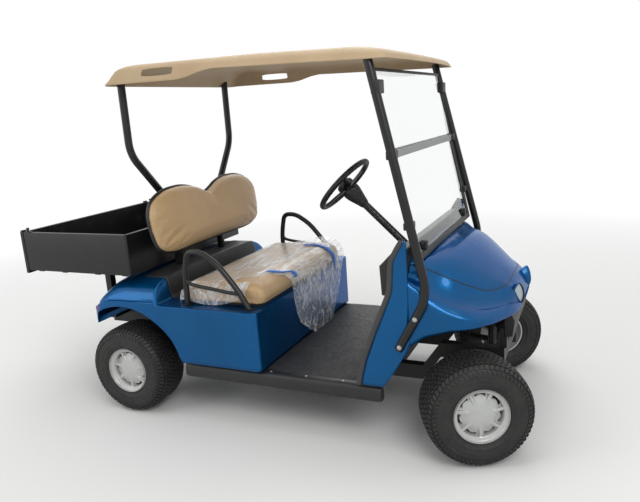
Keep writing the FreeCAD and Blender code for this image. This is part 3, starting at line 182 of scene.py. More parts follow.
def blockBetween(low, high):  # upright box as (points, faces)
    (a, b, c), (d, e, f) = low, high
    points = [(x, y, z) for z in (c, f) for y in (b, e) for x in (a, d)]
    faces = [[0, 2, 3, 1], [4, 5, 7, 6], [0, 1, 5, 4], [2, 6, 7, 3], [0, 4, 6, 2], [1, 3, 7, 5]]
    return np.array(points, float), faces


def joined(parts):  # several (points, faces) as one
    points, faces, first = [], [], 0
    for p, f in parts:
        points.append(np.asarray(p, float).reshape(-1, 3))
        faces += [[n + first for n in face] for face in f]
        first += len(points[-1])
    return np.concatenate(points), faces


def recalculate(piece, merge=0.0, flat=0.0):  # faces outward, after doubles and flat edges (degrees) are merged
    work = bmesh.new()
    work.from_mesh(piece.data)
    if merge:
        bmesh.ops.remove_doubles(work, verts=work.verts, dist=merge)
    if flat:
        bmesh.ops.dissolve_limit(work, angle_limit=math.radians(flat), verts=work.verts, edges=work.edges)
    bmesh.ops.recalc_face_normals(work, faces=work.faces)
    work.to_mesh(piece.data)
    work.free()


def subdivide(piece):
    modifier = piece.modifiers.new("Smooth", "SUBSURF")
    modifier.levels = modifier.render_levels = 1


def thicken(piece, wall, offset=-1.0):
    modifier = piece.modifiers.new("Wall", "SOLIDIFY")
    modifier.thickness = wall
    modifier.offset = offset


def soften(piece, width, segments=2, angle=30):
    modifier = piece.modifiers.new("Edges", "BEVEL")
    modifier.width = width
    modifier.segments = segments
    modifier.limit_method = "ANGLE"
    modifier.angle_limit = math.radians(angle)


def shadeByAngle(piece, angle):  # sharp edges past the angle, smooth elsewhere
    piece.data.polygons.foreach_set("use_smooth", np.ones(len(piece.data.polygons), bool))
    piece.data.set_sharp_from_angle(angle=math.radians(angle))


def placed(name, mesh):
    piece = bpy.data.objects.new(name, mesh)
    bpy.context.scene.collection.objects.link(piece)
    return piece


def pieceFrom(name, shape, material, body="chassis"):
    points, faces = shape
    mesh = bpy.data.meshes.new(name)
    mesh.from_pydata(np.asarray(points, float).reshape(-1, 3).tolist(), [], faces)
    mesh.validate()
    mesh.update()
    mesh.polygons.foreach_set("use_smooth", np.ones(len(mesh.polygons), bool))
    piece = placed(name, mesh)
    mesh.materials.append(material)
    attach(piece, body)
    return piece


def finished(name, shape, material, body="chassis", merge=0.0, sharp=None, wall=None, edge=None,
             node=None):
    # one piece: normals outward, sharp past an angle, given a wall and soft edges, with its CAD node hidden
    piece = pieceFrom(name, shape, material, body)
    recalculate(piece, merge)
    if sharp:
        shadeByAngle(piece, sharp)
    if wall:
        thicken(piece, *wall)
    if edge:
        soften(piece, *edge)
    if node:
        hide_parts(node)
    return piece


def smoothCopy(node, material, sharp=30, edge=None, name=None):  # a CAD node's mesh, merged and shaded by angle
    mesh = nodes[node].data.copy()
    piece = placed(name or node + "_smooth", mesh)
    mesh.materials.clear()
    mesh.materials.append(material)
    recalculate(piece, 0.00002, 0.4)
    shadeByAngle(piece, sharp)
    if edge:
        soften(piece, *edge)
    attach(piece, nodes[node]["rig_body"])
    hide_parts(node)


# Materials. Each builder starts from baseMaterial and adds its own pattern on Object coordinates.
def baseMaterial(name, colour, roughness, metallic=0.0, **sockets):
    material = bpy.data.materials.new(name)
    material.use_nodes = True
    shader = material.node_tree.nodes["Principled BSDF"]
    sockets.update(Base_Color=(*colour, 1), Roughness=roughness, Metallic=metallic)
    for socket, value in sockets.items():
        shader.inputs[socket.replace("_", " ")].default_value = value
    return material, material.node_tree, shader


def feed(taker, socket, value):  # a link, or a plain number where the value is one
    if isinstance(value, bpy.types.NodeSocket):
        taker.id_data.links.new(value, taker.inputs[socket])
    else:
        taker.inputs[socket].default_value = value


def node(tree, kind, **values):
    made = tree.nodes.new("ShaderNode" + kind)
    for name, value in values.items():
        if hasattr(made, name):
            setattr(made, name, value)
        else:
            made.inputs[name.replace("_", " ")].default_value = value
    return made


def objectCoords(tree, stretch=None):
    out = node(tree, "TexCoord").outputs["Object"]
    if stretch is None:
        return out
    mapping = node(tree, "Mapping", Scale=stretch)
    feed(mapping, "Vector", out)
    return mapping.outputs["Vector"]


def noise(tree, scale, detail=2.0, roughness=0.5, stretch=None):
    made = node(tree, "TexNoise", Scale=scale, Detail=detail, Roughness=roughness)
    feed(made, "Vector", objectCoords(tree, stretch))
    return made.outputs["Fac"]


def cells(tree, scale, feature="F1"):
    made = node(tree, "TexVoronoi", feature=feature, Scale=scale, Randomness=1.0)
    feed(made, "Vector", objectCoords(tree))
    return made.outputs["Distance"]


def ranged(tree, value, low, high, toLow=0.0, toHigh=1.0):
    made = node(tree, "MapRange", From_Min=low, From_Max=high, To_Min=toLow, To_Max=toHigh)
    feed(made, "Value", value)
    return made.outputs["Result"]


def blendColours(tree, share, first, second):
    made = node(tree, "Mix", data_type="RGBA")
    feed(made, "Factor", share)
    for socket, colour in ((6, first), (7, second)):
        feed(made, socket, (*colour, 1) if isinstance(colour, tuple) else colour)
    return made.outputs[2]


def combined(tree, operation, first, second, clamped=False):
    made = node(tree, "Math", operation=operation, use_clamp=clamped)
    feed(made, 0, first)
    feed(made, 1, second)
    return made.outputs[0]


def bump(tree, height, distance, strength=1.0, under=None):
    made = node(tree, "Bump", Strength=strength, Distance=distance)
    feed(made, "Height", height)
    if under is not None:
        feed(made, "Normal", under)
    return made.outputs["Normal"]


def shaded(colour, share, lift=0.0):
    return tuple(c * share + lift for c in colour)


def metallicPaint(name, deep, bright, flakeScale=1400):
    material, tree, shader = baseMaterial(name, deep, 0.34, 0.75, Coat_Weight=0.34, Coat_Roughness=0.045,
                                          Specular_Tint=(0.28, 0.50, 0.92, 1), Specular_IOR_Level=0.25)
    flakes = ranged(tree, noise(tree, flakeScale, 1.0), 0.42, 0.66)
    drift = ranged(tree, noise(tree, 2.2, 2.0), 0.35, 0.7, 0, 0.22)
    feed(shader, "Base Color", blendColours(tree, drift, blendColours(tree, flakes, deep, bright), bright))
    feed(shader, "Roughness", ranged(tree, noise(tree, 9, 5.0, 0.6), 0.4, 0.75, 0.29, 0.42))
    feed(shader, "Coat Normal", bump(tree, noise(tree, 260, 1.0), 0.00006))
    feed(shader, "Normal", bump(tree, flakes, 0.00003))
    return material


def mouldedPlastic(name, colour, lighter, roughness, grain=900, dirt=0.25):
    material, tree, shader = baseMaterial(name, colour, roughness)
    patches = ranged(tree, noise(tree, 4.0, 6.0, 0.6), 0.35, 0.7, 0, dirt)
    speckle = ranged(tree, noise(tree, grain, 2.0), 0.35, 0.7)
    tone = blendColours(tree, patches, colour, lighter)
    feed(shader, "Base Color", blendColours(tree, ranged(tree, speckle, 0, 1, 0, 0.3), tone, shaded(colour, 0.86)))
    feed(shader, "Roughness", ranged(tree, speckle, 0, 1, roughness - 0.05, roughness + 0.1))
    feed(shader, "Normal", bump(tree, cells(tree, grain * 0.7), 0.00012))
    return material


def leatherGrain(name, colour, creaseShade, scale=420):
    material, tree, shader = baseMaterial(name, colour, 0.42, Sheen_Weight=0.08, Sheen_Roughness=0.4)
    creases = ranged(tree, cells(tree, scale, "DISTANCE_TO_EDGE"), 0.0, 0.09)
    patches = ranged(tree, noise(tree, 5, 4.0, 0.55), 0.35, 0.7, 0, 0.6)
    tone = blendColours(tree, patches, colour, shaded(colour, 0.88))
    # the grain's creases are painted darker towards creaseShade: painted shade in the creases, on top of the bump
    feed(shader, "Base Color", blendColours(tree, ranged(tree, creases, 0, 1, 0.55, 0), tone, creaseShade))
    feed(shader, "Roughness", ranged(tree, noise(tree, 30, 3.0), 0.3, 0.7, 0.36, 0.5))
    puckers = bump(tree, noise(tree, 26, 3.0, stretch=(1, 1, 1)), 0.0008, 0.5)
    feed(shader, "Normal", bump(tree, creases, 0.00022, 0.8, puckers))
    return material


def coatedSteel(name, colour, roughness, metallic=0.0, scuff=None, grain=700):
    material, tree, shader = baseMaterial(name, colour, roughness, metallic, Coat_Weight=0.12, Coat_Roughness=0.3,
                                          Specular_IOR_Level=0.35)
    wear = ranged(tree, noise(tree, 14, 8.0, 0.68), 0.56, 0.72)
    worn = ranged(tree, wear, 0, 1, 0, 0.4)
    feed(shader, "Base Color", blendColours(tree, worn, colour, scuff or shaded(colour, 2.2, 0.004)))
    feed(shader, "Roughness", ranged(tree, wear, 0, 1, roughness, roughness + 0.18))
    feed(shader, "Normal", bump(tree, noise(tree, grain, 2.0), 0.00006))
    return material


def rubber(name, colour, dusty, roughness, grain=520):
    material, tree, shader = baseMaterial(name, colour, roughness)
    dust = ranged(tree, noise(tree, 11, 7.0, 0.65), 0.42, 0.72, 0, 0.55)
    feed(shader, "Base Color", blendColours(tree, dust, colour, dusty))
    feed(shader, "Roughness", ranged(tree, noise(tree, 60, 4.0), 0.3, 0.7, roughness - 0.08, roughness + 0.12))
    feed(shader, "Normal", bump(tree, noise(tree, grain, 3.0), 0.00018))
    return material


def silverPlastic(name, colour, grimy=(0.36, 0.33, 0.28)):
    material, tree, shader = baseMaterial(name, colour, 0.36, 0.25, Coat_Weight=0.5, Coat_Roughness=0.18)
    flakes = ranged(tree, noise(tree, 1700, 1.0), 0.4, 0.65)
    grime = ranged(tree, noise(tree, 18, 6.0, 0.65), 0.5, 0.75, 0, 0.35)
    tone = blendColours(tree, flakes, shaded(colour, 0.9), colour)
    feed(shader, "Base Color", blendColours(tree, grime, tone, grimy))
    feed(shader, "Normal", bump(tree, noise(tree, 900, 1.0), 0.00003))
    return material


def clearSheet(name, tint, roughness=0.015):
    material, tree, shader = baseMaterial(name, tint, roughness, Transmission_Weight=1.0, IOR=1.18,
                                          Specular_IOR_Level=0.6)
    smears = noise(tree, 7, 6.0, 0.7, (1, 1, 0.4))
    feed(shader, "Roughness", ranged(tree, smears, 0.5, 0.8, roughness, roughness + 0.10))
    return material


def lens(name, colour, transmission=0.55, roughness=0.06, ribs=340):
    material, tree, shader = baseMaterial(name, colour, roughness, Transmission_Weight=transmission,
                                          Coat_Weight=1.0, Coat_Roughness=0.03)
    waves = node(tree, "TexWave", wave_type="BANDS", bands_direction="Z", Scale=ribs / 6)
    feed(waves, "Vector", objectCoords(tree))
    feed(shader, "Normal", bump(tree, waves.outputs["Fac"], 0.0004, 0.6))
    feed(shader, "Roughness", ranged(tree, noise(tree, 120, 2.0), 0.3, 0.7, roughness, roughness + 0.08))
    return material


def creaseHighlights(tree, layers, width, strength):  # painted highlights: bright thin lines where a stretched noise crosses its middle
    total = None
    for scale, stretch in layers:
        away = combined(tree, "SUBTRACT", noise(tree, scale, 3.0, 0.6, stretch), 0.5)
        size = node(tree, "Math", operation="ABSOLUTE")
        feed(size, 0, away)
        line = ranged(tree, size.outputs[0], 0.0, width, strength, 0.0)
        total = line if total is None else combined(tree, "ADD", total, line)
    return total


def thinFilm(name, colour):  # clear with a faint haze, and painted highlights along creases that run otherwise where the film hangs
    material, tree, shader = baseMaterial(name, colour, 0.16, Specular_IOR_Level=0.9)
    height = node(tree, "SeparateXYZ")
    feed(height, "Vector", objectCoords(tree))
    # the crease lines raise the white film's alpha in thin lines, which paints highlights along the creases
    lines = node(tree, "Mix", data_type="FLOAT")
    feed(lines, "Factor", ranged(tree, height.outputs["Z"], 0.612, 0.645))
    feed(lines, 2, creaseHighlights(tree, ((9, (0.6, 1, 0.36)), (19, (0.8, 1, 0.7))), 0.030, 0.36))
    feed(lines, 3, creaseHighlights(tree, ((20, (1, 0.10, 0.4)), (44, (1, 0.12, 0.5))), 0.036, 0.34))
    haze = ranged(tree, noise(tree, 10, 5.0, 0.65, (1, 0.3, 0.5)), 0.35, 0.68, 0.14, 0.46)
    feed(shader, "Alpha", combined(tree, "ADD", lines.outputs[0], haze, True))
    feed(shader, "Normal", bump(tree, noise(tree, 70, 4.0, 0.7, (1, 0.4, 1)), 0.0012, 0.7))
    return material


paintBlue = metallicPaint("paintBlue", (0.0002, 0.030, 0.088), (0.0005, 0.140, 0.40))
roofTan = mouldedPlastic("roofTan", (0.40, 0.285, 0.165), (0.50, 0.385, 0.24), 0.55, grain=800, dirt=0.5)
# the second colour is the painted shade in the grain's creases
seatTan = leatherGrain("seatTan", (0.52, 0.35, 0.18), (0.30, 0.19, 0.09))
blackTube = coatedSteel("blackTube", (0.004, 0.004, 0.0045), 0.34)
frameSteel = coatedSteel("frameSteel", (0.008, 0.0078, 0.0075), 0.55, scuff=(0.07, 0.052, 0.038))
boxSteel = coatedSteel("boxSteel", (0.005, 0.0052, 0.006), 0.42, scuff=(0.028, 0.028, 0.029), grain=420)
blackPlastic = mouldedPlastic("blackPlastic", (0.006, 0.006, 0.0065), (0.016, 0.0155, 0.015), 0.5, grain=1100)
greyTrim = mouldedPlastic("greyTrim", (0.035, 0.036, 0.038), (0.06, 0.058, 0.055), 0.6)
stripGrey = mouldedPlastic("stripGrey", (0.24, 0.25, 0.25), (0.33, 0.33, 0.32), 0.45, grain=600)
rockerPlastic = mouldedPlastic("rockerPlastic", (0.006, 0.0065, 0.008), (0.022, 0.021, 0.019), 0.46, grain=700,
                               dirt=0.5)
gripRubber = rubber("gripRubber", (0.005, 0.005, 0.0055), (0.012, 0.012, 0.012), 0.55, grain=900)
matRubber = rubber("matRubber", (0.014, 0.015, 0.018), (0.042, 0.040, 0.037), 0.62)
tyreRubber = rubber("tyreRubber", (0.0055, 0.0055, 0.006), (0.030, 0.027, 0.023), 0.6)
coverSilver = silverPlastic("coverSilver", (0.50, 0.51, 0.50))
# near-black floor of the cover's windows: painted shade that stands in for the dark inside of the wheel
wellShade = mouldedPlastic("wellShade", (0.003, 0.003, 0.003), (0.006, 0.006, 0.006), 0.8, grain=500)
bareSteel = coatedSteel("bareSteel", (0.42, 0.42, 0.42), 0.34, 0.9, scuff=(0.3, 0.24, 0.18))
blockMetal = coatedSteel("blockMetal", (0.16, 0.16, 0.165), 0.48, 0.6, scuff=(0.1, 0.08, 0.06))
batteryCase = mouldedPlastic("batteryCase", (0.012, 0.012, 0.013), (0.035, 0.034, 0.032), 0.5, grain=600)
mirrorMetal = coatedSteel("mirrorMetal", (0.8, 0.82, 0.83), 0.12, 1.0, scuff=(0.7, 0.72, 0.74))
clearGlass = clearSheet("clearGlass", (0.93, 0.955, 0.95))
filmClear = thinFilm("filmClear", (0.88, 0.91, 0.94))
tapeBlue = mouldedPlastic("tapeBlue", (0.006, 0.13, 0.52), (0.02, 0.20, 0.62), 0.4, grain=500)
headLens = lens("headLens", (0.80, 0.93, 0.95))
tailLens = lens("tailLens", (0.42, 0.015, 0.012), 0.25)
print("materials ready")

# CAD nodes in their finishes: those that keep their shape show them, and the rest are replaced further down.
for finish, slotName, names in (
        (frameSteel, "black_steel", "frame_rails cross_members front_axle rear_axle front_springs rear_springs"
                                    " knuckle_left knuckle_right floor_pan cargo_supports"),
        (blackTube, "black_steel", "shocks seat_frame hip_restraints rear_struts front_struts steering_column"),
        (blackPlastic, "black_plastic", "seat_base seat_back_shell front_bumper dash_panel steering_wheel pedals"),
        (boxSteel, "black_steel", "cargo_box tailgate"), (bareSteel, "black_steel", "tie_rod"),
        (blockMetal, "black_steel", "drive_motor"), (matRubber, "mat_rubber", "floor_mat"),
        (rockerPlastic, "black_plastic", "rockers"), (batteryCase, "black_plastic", "battery_pack"),
        (stripGrey, "black_plastic", "windscreen_strip"), (paintBlue, "paint_blue", "rear_body front_cowl"),
        (seatTan, "tan_vinyl", "seat_bottom seat_back"), (roofTan, "tan_plastic", "roof"),
        (clearGlass, "clear_screen", "windscreen_upper windscreen_lower"),
        (headLens, "lamp_lens", "headlights"), (tailLens, "red_lens", "tail_lights"),
        (tyreRubber, "tyre_rubber", " ".join(f"tyre_{end}_{side}" for end, side in corners)),
        (coverSilver, "silver_cover", " ".join(f"wheel_{end}_{side}" for end, side in corners))):
    for name in names.split():
        for place in nodes[name].material_slots:
            place.material = finish
print("carried-over nodes dressed")


# Front cowl: hood, brow and sides as one smooth shell.
cowl = {
    "rearBehind": 0.228, "noseAhead": 0.172, "half": 0.541, "low": 0.560, "tall": 0.306,
    "wall": 0.005, "alongCount": 74, "sideCount": 9, "bandCount": 13, "hipCount": 9, "crownCount": 17,
    # distance ahead of the front axle and height of the lower edge
    "lowerEdge": [(-0.229, 0.480), (-0.150, 0.535), (-0.042, 0.569), (0.068, 0.578), (0.172, 0.562)],
    # along, crest, flat (out, up), edge (out, up), brow (out, up), side: shares of the half width and height
    "rows": [
        (0.00, 0.925, 0.64, 0.893, 0.89, 0.845, 0.985, 0.680, 1.000),
        (0.12, 0.902, 0.62, 0.868, 0.87, 0.812, 0.975, 0.580, 1.000),
        (0.25, 0.890, 0.57, 0.830, 0.78, 0.690, 0.955, 0.450, 1.000),
        (0.42, 0.860, 0.50, 0.775, 0.73, 0.570, 0.930, 0.335, 0.995),
        (0.57, 0.735, 0.43, 0.650, 0.64, 0.450, 0.885, 0.270, 0.975),
        (0.70, 0.590, 0.36, 0.520, 0.54, 0.355, 0.800, 0.210, 0.915),
        (0.80, 0.472, 0.30, 0.415, 0.44, 0.305, 0.690, 0.180, 0.800),
        (0.88, 0.380, 0.26, 0.338, 0.37, 0.272, 0.560, 0.160, 0.660),
        (0.94, 0.295, 0.23, 0.264, 0.31, 0.220, 0.460, 0.140, 0.530),
        (0.98, 0.190, 0.18, 0.172, 0.24, 0.140, 0.350, 0.100, 0.410),
        (1.00, 0.100, 0.13, 0.095, 0.20, 0.085, 0.250, 0.060, 0.300),
    ],
    "scoop": {"along": 0.085, "reach": 0.10, "depth": 0.026, "middle": 0.42, "spread": 0.52},
    "bandLean": (0, 0.012, -0.019), "hipSwell": (0, -0.006, 0.008), "sideTuck": 0.014,
    "noseCentre": (0.003, 0, 0.012), "noseSteps": (0.12, 0.4, 0.75, 0.985),
    "seamWidth": 0.0042, "seamProud": 0.0006,
    # the hood panel's seam as (share along, column): along the crease, then up and round over the nose
    "seam": [(0.05, 21), (0.20, 21), (0.40, 21), (0.60, 21), (0.70, 21.1), (0.765, 21.8), (0.815, 23.2),
             (0.848, 25.6), (0.866, 28.8), (0.874, 32.5), (0.877, 37), (0.877, 41), (0.877, 45)],
}


def throughKnots(knots, values, at):  # cubic curve through the knots, with slopes from their neighbours
    slope = np.gradient(values, knots, axis=0)
    i = np.clip(np.searchsorted(knots, at) - 1, 0, len(knots) - 2)
    gap = (knots[i + 1] - knots[i])[:, None]
    t = ((at - knots[i])[:, None]) / gap
    a, b, u, v = values[i], values[i + 1], slope[i] * gap, slope[i + 1] * gap
    return (2 * t ** 3 - 3 * t ** 2 + 1) * a + (t ** 3 - 2 * t ** 2 + t) * u + (3 * t ** 2 - 2 * t ** 3) * b \
        + (t ** 3 - t ** 2) * v


def archThrough(start, mid, end, count):  # parabola from start to end that passes mid halfway, per row
    pull = 2 * mid - (start + end) / 2
    return parabola(start[:, None], pull[:, None], end[:, None], np.linspace(0, 1, count)[None, :, None])


def cowlHalf():  # grid of the near half: along the cowl, then from the lower edge up over the hood to the crest
    c = cowl
    rows = np.array(c["rows"])
    share = 1 - (1 - np.linspace(0, 1, c["alongCount"])) ** 1.25
    along = throughKnots(rows[:, 0], rows[:, 1:], share)
    x = frontX - c["rearBehind"] + share * (c["rearBehind"] + c["noseAhead"])

    def spot(out, up):
        return np.stack([x, -c["half"] * out, c["low"] + c["tall"] * up], -1)

    crest = spot(0 * x, along[:, 0])
    flat, edge, brow = (spot(along[:, k], along[:, k + 1]) for k in (1, 3, 5))
    sideOut = along[:, 7]
    sideTop = np.stack([x, -c["half"] * sideOut, brow[:, 2] - c["sideTuck"]], -1)
    lowZ = np.interp(x - frontX, *np.transpose(c["lowerEdge"]))
    sideLow = np.stack([x, -c["half"] * sideOut, np.minimum(lowZ, sideTop[:, 2] - 0.002)], -1)
    lean, swell = (sideOut[:, None] * c[k] for k in ("bandLean", "hipSwell"))
    side = archThrough(sideLow, (sideLow + sideTop) / 2 + np.array([0, -0.002, 0]), sideTop, c["sideCount"])
    band = archThrough(brow, (edge + brow) / 2 + lean, edge, c["bandCount"])
    hip = archThrough(edge, (flat + edge) / 2 + swell, flat, c["hipCount"])
    t = np.linspace(1, 0, c["crownCount"])[None, :, None]
    crown = np.concatenate([crest[:, None, :1] + 0 * t, flat[:, None, 1:2] * t,
                            crest[:, None, 2:] - (crest - flat)[:, None, 2:] * t ** 2], -1)
    grid = np.concatenate([side, band, hip[:, 1:], crown[:, 1:]], 1)
    # the creases across the section are softened
    grid[:, 1:-1] = (grid[:, :-2] + 2 * grid[:, 1:-1] + grid[:, 2:]) / 4
    return grid, share


def scooped(grid, share):  # hollow behind the strut, between the brow and the hood's edge
    c = cowl["scoop"]
    column = np.arange(grid.shape[1])
    bandMiddle = cowl["sideCount"] + cowl["bandCount"] * c["middle"]
    across = np.clip(1 - np.abs(column - bandMiddle) / (cowl["bandCount"] * c["spread"]), 0, 1)
    ahead = np.clip(1 - np.abs(share - c["along"]) / c["reach"], 0, 1)
    hollow = eased((ahead ** 0.8)[:, None] * (across ** 0.9)[None])
    grid = grid.copy()
    grid[..., 1] += c["depth"] * hollow
    grid[..., 2] -= 0.3 * c["depth"] * hollow
    return grid


def alongGrid(grid, rowPlace, columnPlace):  # points on the grid at fractional row and column numbers
    i = np.clip(rowPlace.astype(int), 0, grid.shape[0] - 2)
    j = np.clip(columnPlace.astype(int), 0, grid.shape[1] - 2)
    u, v = (rowPlace - i)[:, None], (columnPlace - j)[:, None]
    lowRow = (1 - v) * grid[i, j] + v * grid[i, j + 1]
    point = (1 - u) * lowRow + u * ((1 - v) * grid[i + 1, j] + v * grid[i + 1, j + 1])
    normal = unit(np.cross(grid[i + 1, j] - grid[i, j], grid[i, j + 1] - grid[i, j]))
    return point, normal


def ribbonOn(grid, rowPlace, columnPlace, width, proud):
    # flat strip (points, faces) that lies on a grid along a line of fractional places
    point, normal = alongGrid(grid, rowPlace, columnPlace)
    normal = normal * np.sign(normal[:, 2:3] + 1e-9)
    across = unit(np.cross(np.gradient(point, axis=0), normal)) * width / 2
    lift = normal * proud
    return closedTube(np.stack([point - across - lift, point - across + lift, point + across + lift,
                                point + across - lift], 1))


def buildCowl():
    half, share = cowlHalf()
    half = scooped(half, share)
    shell = np.concatenate([half, half[:, -2::-1] * acrossY], 1)
    centre = np.add((frontX + cowl["noseAhead"], 0, cowl["low"]), cowl["noseCentre"])
    closing = [shell[-1] + (centre - shell[-1]) * step * (0.6, 1, 1) for step in cowl["noseSteps"]]
    shell = np.concatenate([shell, np.stack(closing)], 0)
    finished("cowl_shell", gridShape(shell), paintBlue, wall=(cowl["wall"],), node="front_cowl")

    seamT, seamC = smoothRows(cowl["seam"], 110).T
    seamC = np.clip(seamC, 0, half.shape[1] - 1.0)
    seamR = np.interp(seamT, share, np.arange(len(share)))
    shape = ribbonOn(half, seamR, seamC, cowl["seamWidth"], cowl["seamProud"])
    seam = finished("hood_seam_near", shape, blackPlastic)
    points = np.array([v.co for v in seam.data.vertices]) * acrossY
    faces = [list(f.vertices)[::-1] for f in seam.data.polygons]
    pieceFrom("hood_seam_far", (points, faces), blackPlastic)


buildCowl()

shield = {
    # distance behind the front axle of the rear and front edges at each height
    "heights": [0.296, 0.400, 0.484, 0.547, 0.620, 0.682, 0.712, 0.780, 0.841, 0.890, 0.925],
    "rearEdge": [0.444, 0.420, 0.388, 0.363, 0.331, 0.305, 0.291, 0.285, 0.281, 0.255, 0.232],
    "frontEdge": [0.336, 0.265, 0.216, 0.216, 0.216, 0.216, 0.216, 0.216, 0.216, 0.216, 0.216],
    "y": 0.5400, "wall": 0.005, "columns": 12, "rows": 46, "swell": 0.0005, "roll": 0.010, "rimIn": 0.004,
    "trimWidth": 0.024, "trimDeep": 0.016,
    "trimShape": [(-0.5, 0.2), (-0.42, 0.85), (-0.1, 1.0), (0.3, 0.95), (0.5, 0.6), (0.5, -0.4), (-0.5, -0.4)],
}


def buildShields():
    c = shield
    knots = np.array(c["heights"])
    z = np.linspace(knots[0], knots[-1], c["rows"])
    rear = np.interp(z, knots, c["rearEdge"])
    front = np.interp(z, knots, c["frontEdge"])
    for line in (rear, rear, front, front):
        line[1:-1] = (line[:-2] + 2 * line[1:-1] + line[2:]) / 4
    share = np.linspace(0, 1, c["columns"])
    x = frontX - (front[:, None] * (1 - share) + rear[:, None] * share)
    # the panel is a hair fuller at mid height and rolls inward at its rear edge
    swell = c["swell"] * np.sin(np.clip((z - 0.42) / 0.3, 0, 1) * math.pi)
    roll = c["roll"] * np.clip((share - 0.82) / 0.18, 0, 1) ** 2
    y = -(c["y"] + swell[:, None] - roll[None])
    near = np.stack(np.broadcast_arrays(x, y, z[:, None]), -1)
    rim = np.stack([frontX - rear - c["rimIn"], np.full_like(z, -c["y"] + c["rimIn"]), z], -1)
    profile = np.array(c["trimShape"]) * (c["trimWidth"], c["trimDeep"])
    for side, name in nearAndFar:
        flipY = np.array([1, side, 1])
        wall = (c["wall"], 1.0)
        finished(f"leg_shield_{name}", gridShape(near * flipY), paintBlue, wall=wall)
        trim = carried(rim * flipY, profile[::side], up=(0, -side, 0))
        finished(f"shield_trim_{name}", closedTube(trim), greyTrim, edge=(0.0015,))


buildShields()
print("cowl and leg shields built")

lamp = {"ahead": 0.160, "y": 0.152, "z": 0.610, "turn": 44.0, "width": 0.060, "height": 0.110,
        "rim": 0.006, "recess": 0.005, "dome": 0.006, "podBack": 0.10, "points": 14}


def leafOutline(grow):  # four bulged sides between four tips, as (across, up)
    wide, tall = lamp["width"] / 2 + grow, lamp["height"] / 2 + grow
    tips = np.array([(wide * 0.2, tall), (-wide, tall * 0.1), (-wide * 0.2, -tall), (wide, -tall * 0.1)])
    nextTips = np.roll(tips, -1, 0)
    pull = 2 * (tips + nextTips) / 2 * 1.25 - (tips + nextTips) / 2
    t = np.linspace(0, 1, lamp["points"], endpoint=False)[None, :, None]
    ring = parabola(tips[:, None], pull[:, None], nextTips[:, None], t).reshape(-1, 2)
    for _ in range(2):
        ring = (np.roll(ring, 1, 0) + 2 * ring + np.roll(ring, -1, 0)) / 4
    return ring


def buildLamps():
    c = lamp
    turn = math.radians(c["turn"])
    facing = np.array([math.cos(turn), -math.sin(turn), 0])
    across = np.array([math.sin(turn), math.cos(turn), 0])
    centre = np.array([frontX + c["ahead"], -c["y"], c["z"]])

    def rings(steps):  # (scale outline, grow, along facing)
        out = []
        for share, grow, along in steps:
            ring = leafOutline(grow) * share
            out.append(centre + ring[:, :1] * across + ring[:, 1:] * np.array([0, 0, 1]) + facing * along)
        return np.stack(out)

    pod = rings([(0.22, 0.0, -c["podBack"]), (0.46, 0.0, -0.064), (0.72, c["rim"], -0.036),
                 (0.93, c["rim"], -0.016), (1, c["rim"], -0.006),
                 (1, c["rim"] * 0.85, -0.001), (1, c["rim"] * 0.5, 0.0005)])
    rim = rings([(1, c["rim"] * 0.55, -0.004), (1, c["rim"] * 0.5, 0.0012), (1, c["rim"] * 0.2, 0.0018),
                 (1, 0.0, 0.0006), (1, -0.0005, -0.010)])
    glass = rings([(share, -0.0008, -c["recess"] + c["dome"] * (1 - share ** 2))
                   for share in (1.0, 0.97, 0.88, 0.7, 0.48, 0.25, 0.03)])
    bowl = rings([(1, -0.0012, -0.009), (0.86, 0, -0.018), (0.6, 0, -0.026), (0.3, 0, -0.030), (0.04, 0, -0.031)])
    bulb = rings([(0.2, 0, -0.029), (0.2, 0, -0.016), (0.12, 0, -0.0125), (0.02, 0, -0.0118)])
    for side, name in nearAndFar:
        for part, grid, material, slotName in (
                ("lamp_pod", pod, paintBlue, "paint_blue"), ("lamp_rim", rim, blackPlastic, "black_plastic"),
                ("lamp_lens", glass, headLens, "lamp_lens"), ("lamp_bowl", bowl, mirrorMetal, "silver_cover"),
                ("lamp_bulb", bulb, mirrorMetal, "silver_cover")):
            shape = closedTube(grid * np.array([1, side, 1]), (False, part not in ("lamp_pod", "lamp_rim")))
            stands = "headlights" if part == "lamp_lens" and side == 1 else None
            finished(f"{part}_{name}", shape, material, node=stands)


buildLamps()
print("lamps built")


# Seat: foam back and bench cushion in vinyl, swollen by cloth simulation.
swell = {"voxel": 0.008, "frames": 20, "quality": 5, "mass": 0.4, "tension_stiffness": 30,
         "compression_stiffness": 30, "bending_stiffness": 4, "uniform_pressure_force": 4.0}


def pointsOf(mesh):  # a mesh's vertices as rows
    co = np.zeros(len(mesh.vertices) * 3)
    mesh.vertices.foreach_get("co", co)
    return co.reshape(-1, 3)


def shownMesh(piece):  # a new mesh of a piece with its modifiers applied
    return bpy.data.meshes.new_from_object(piece.evaluated_get(bpy.context.evaluated_depsgraph_get()))


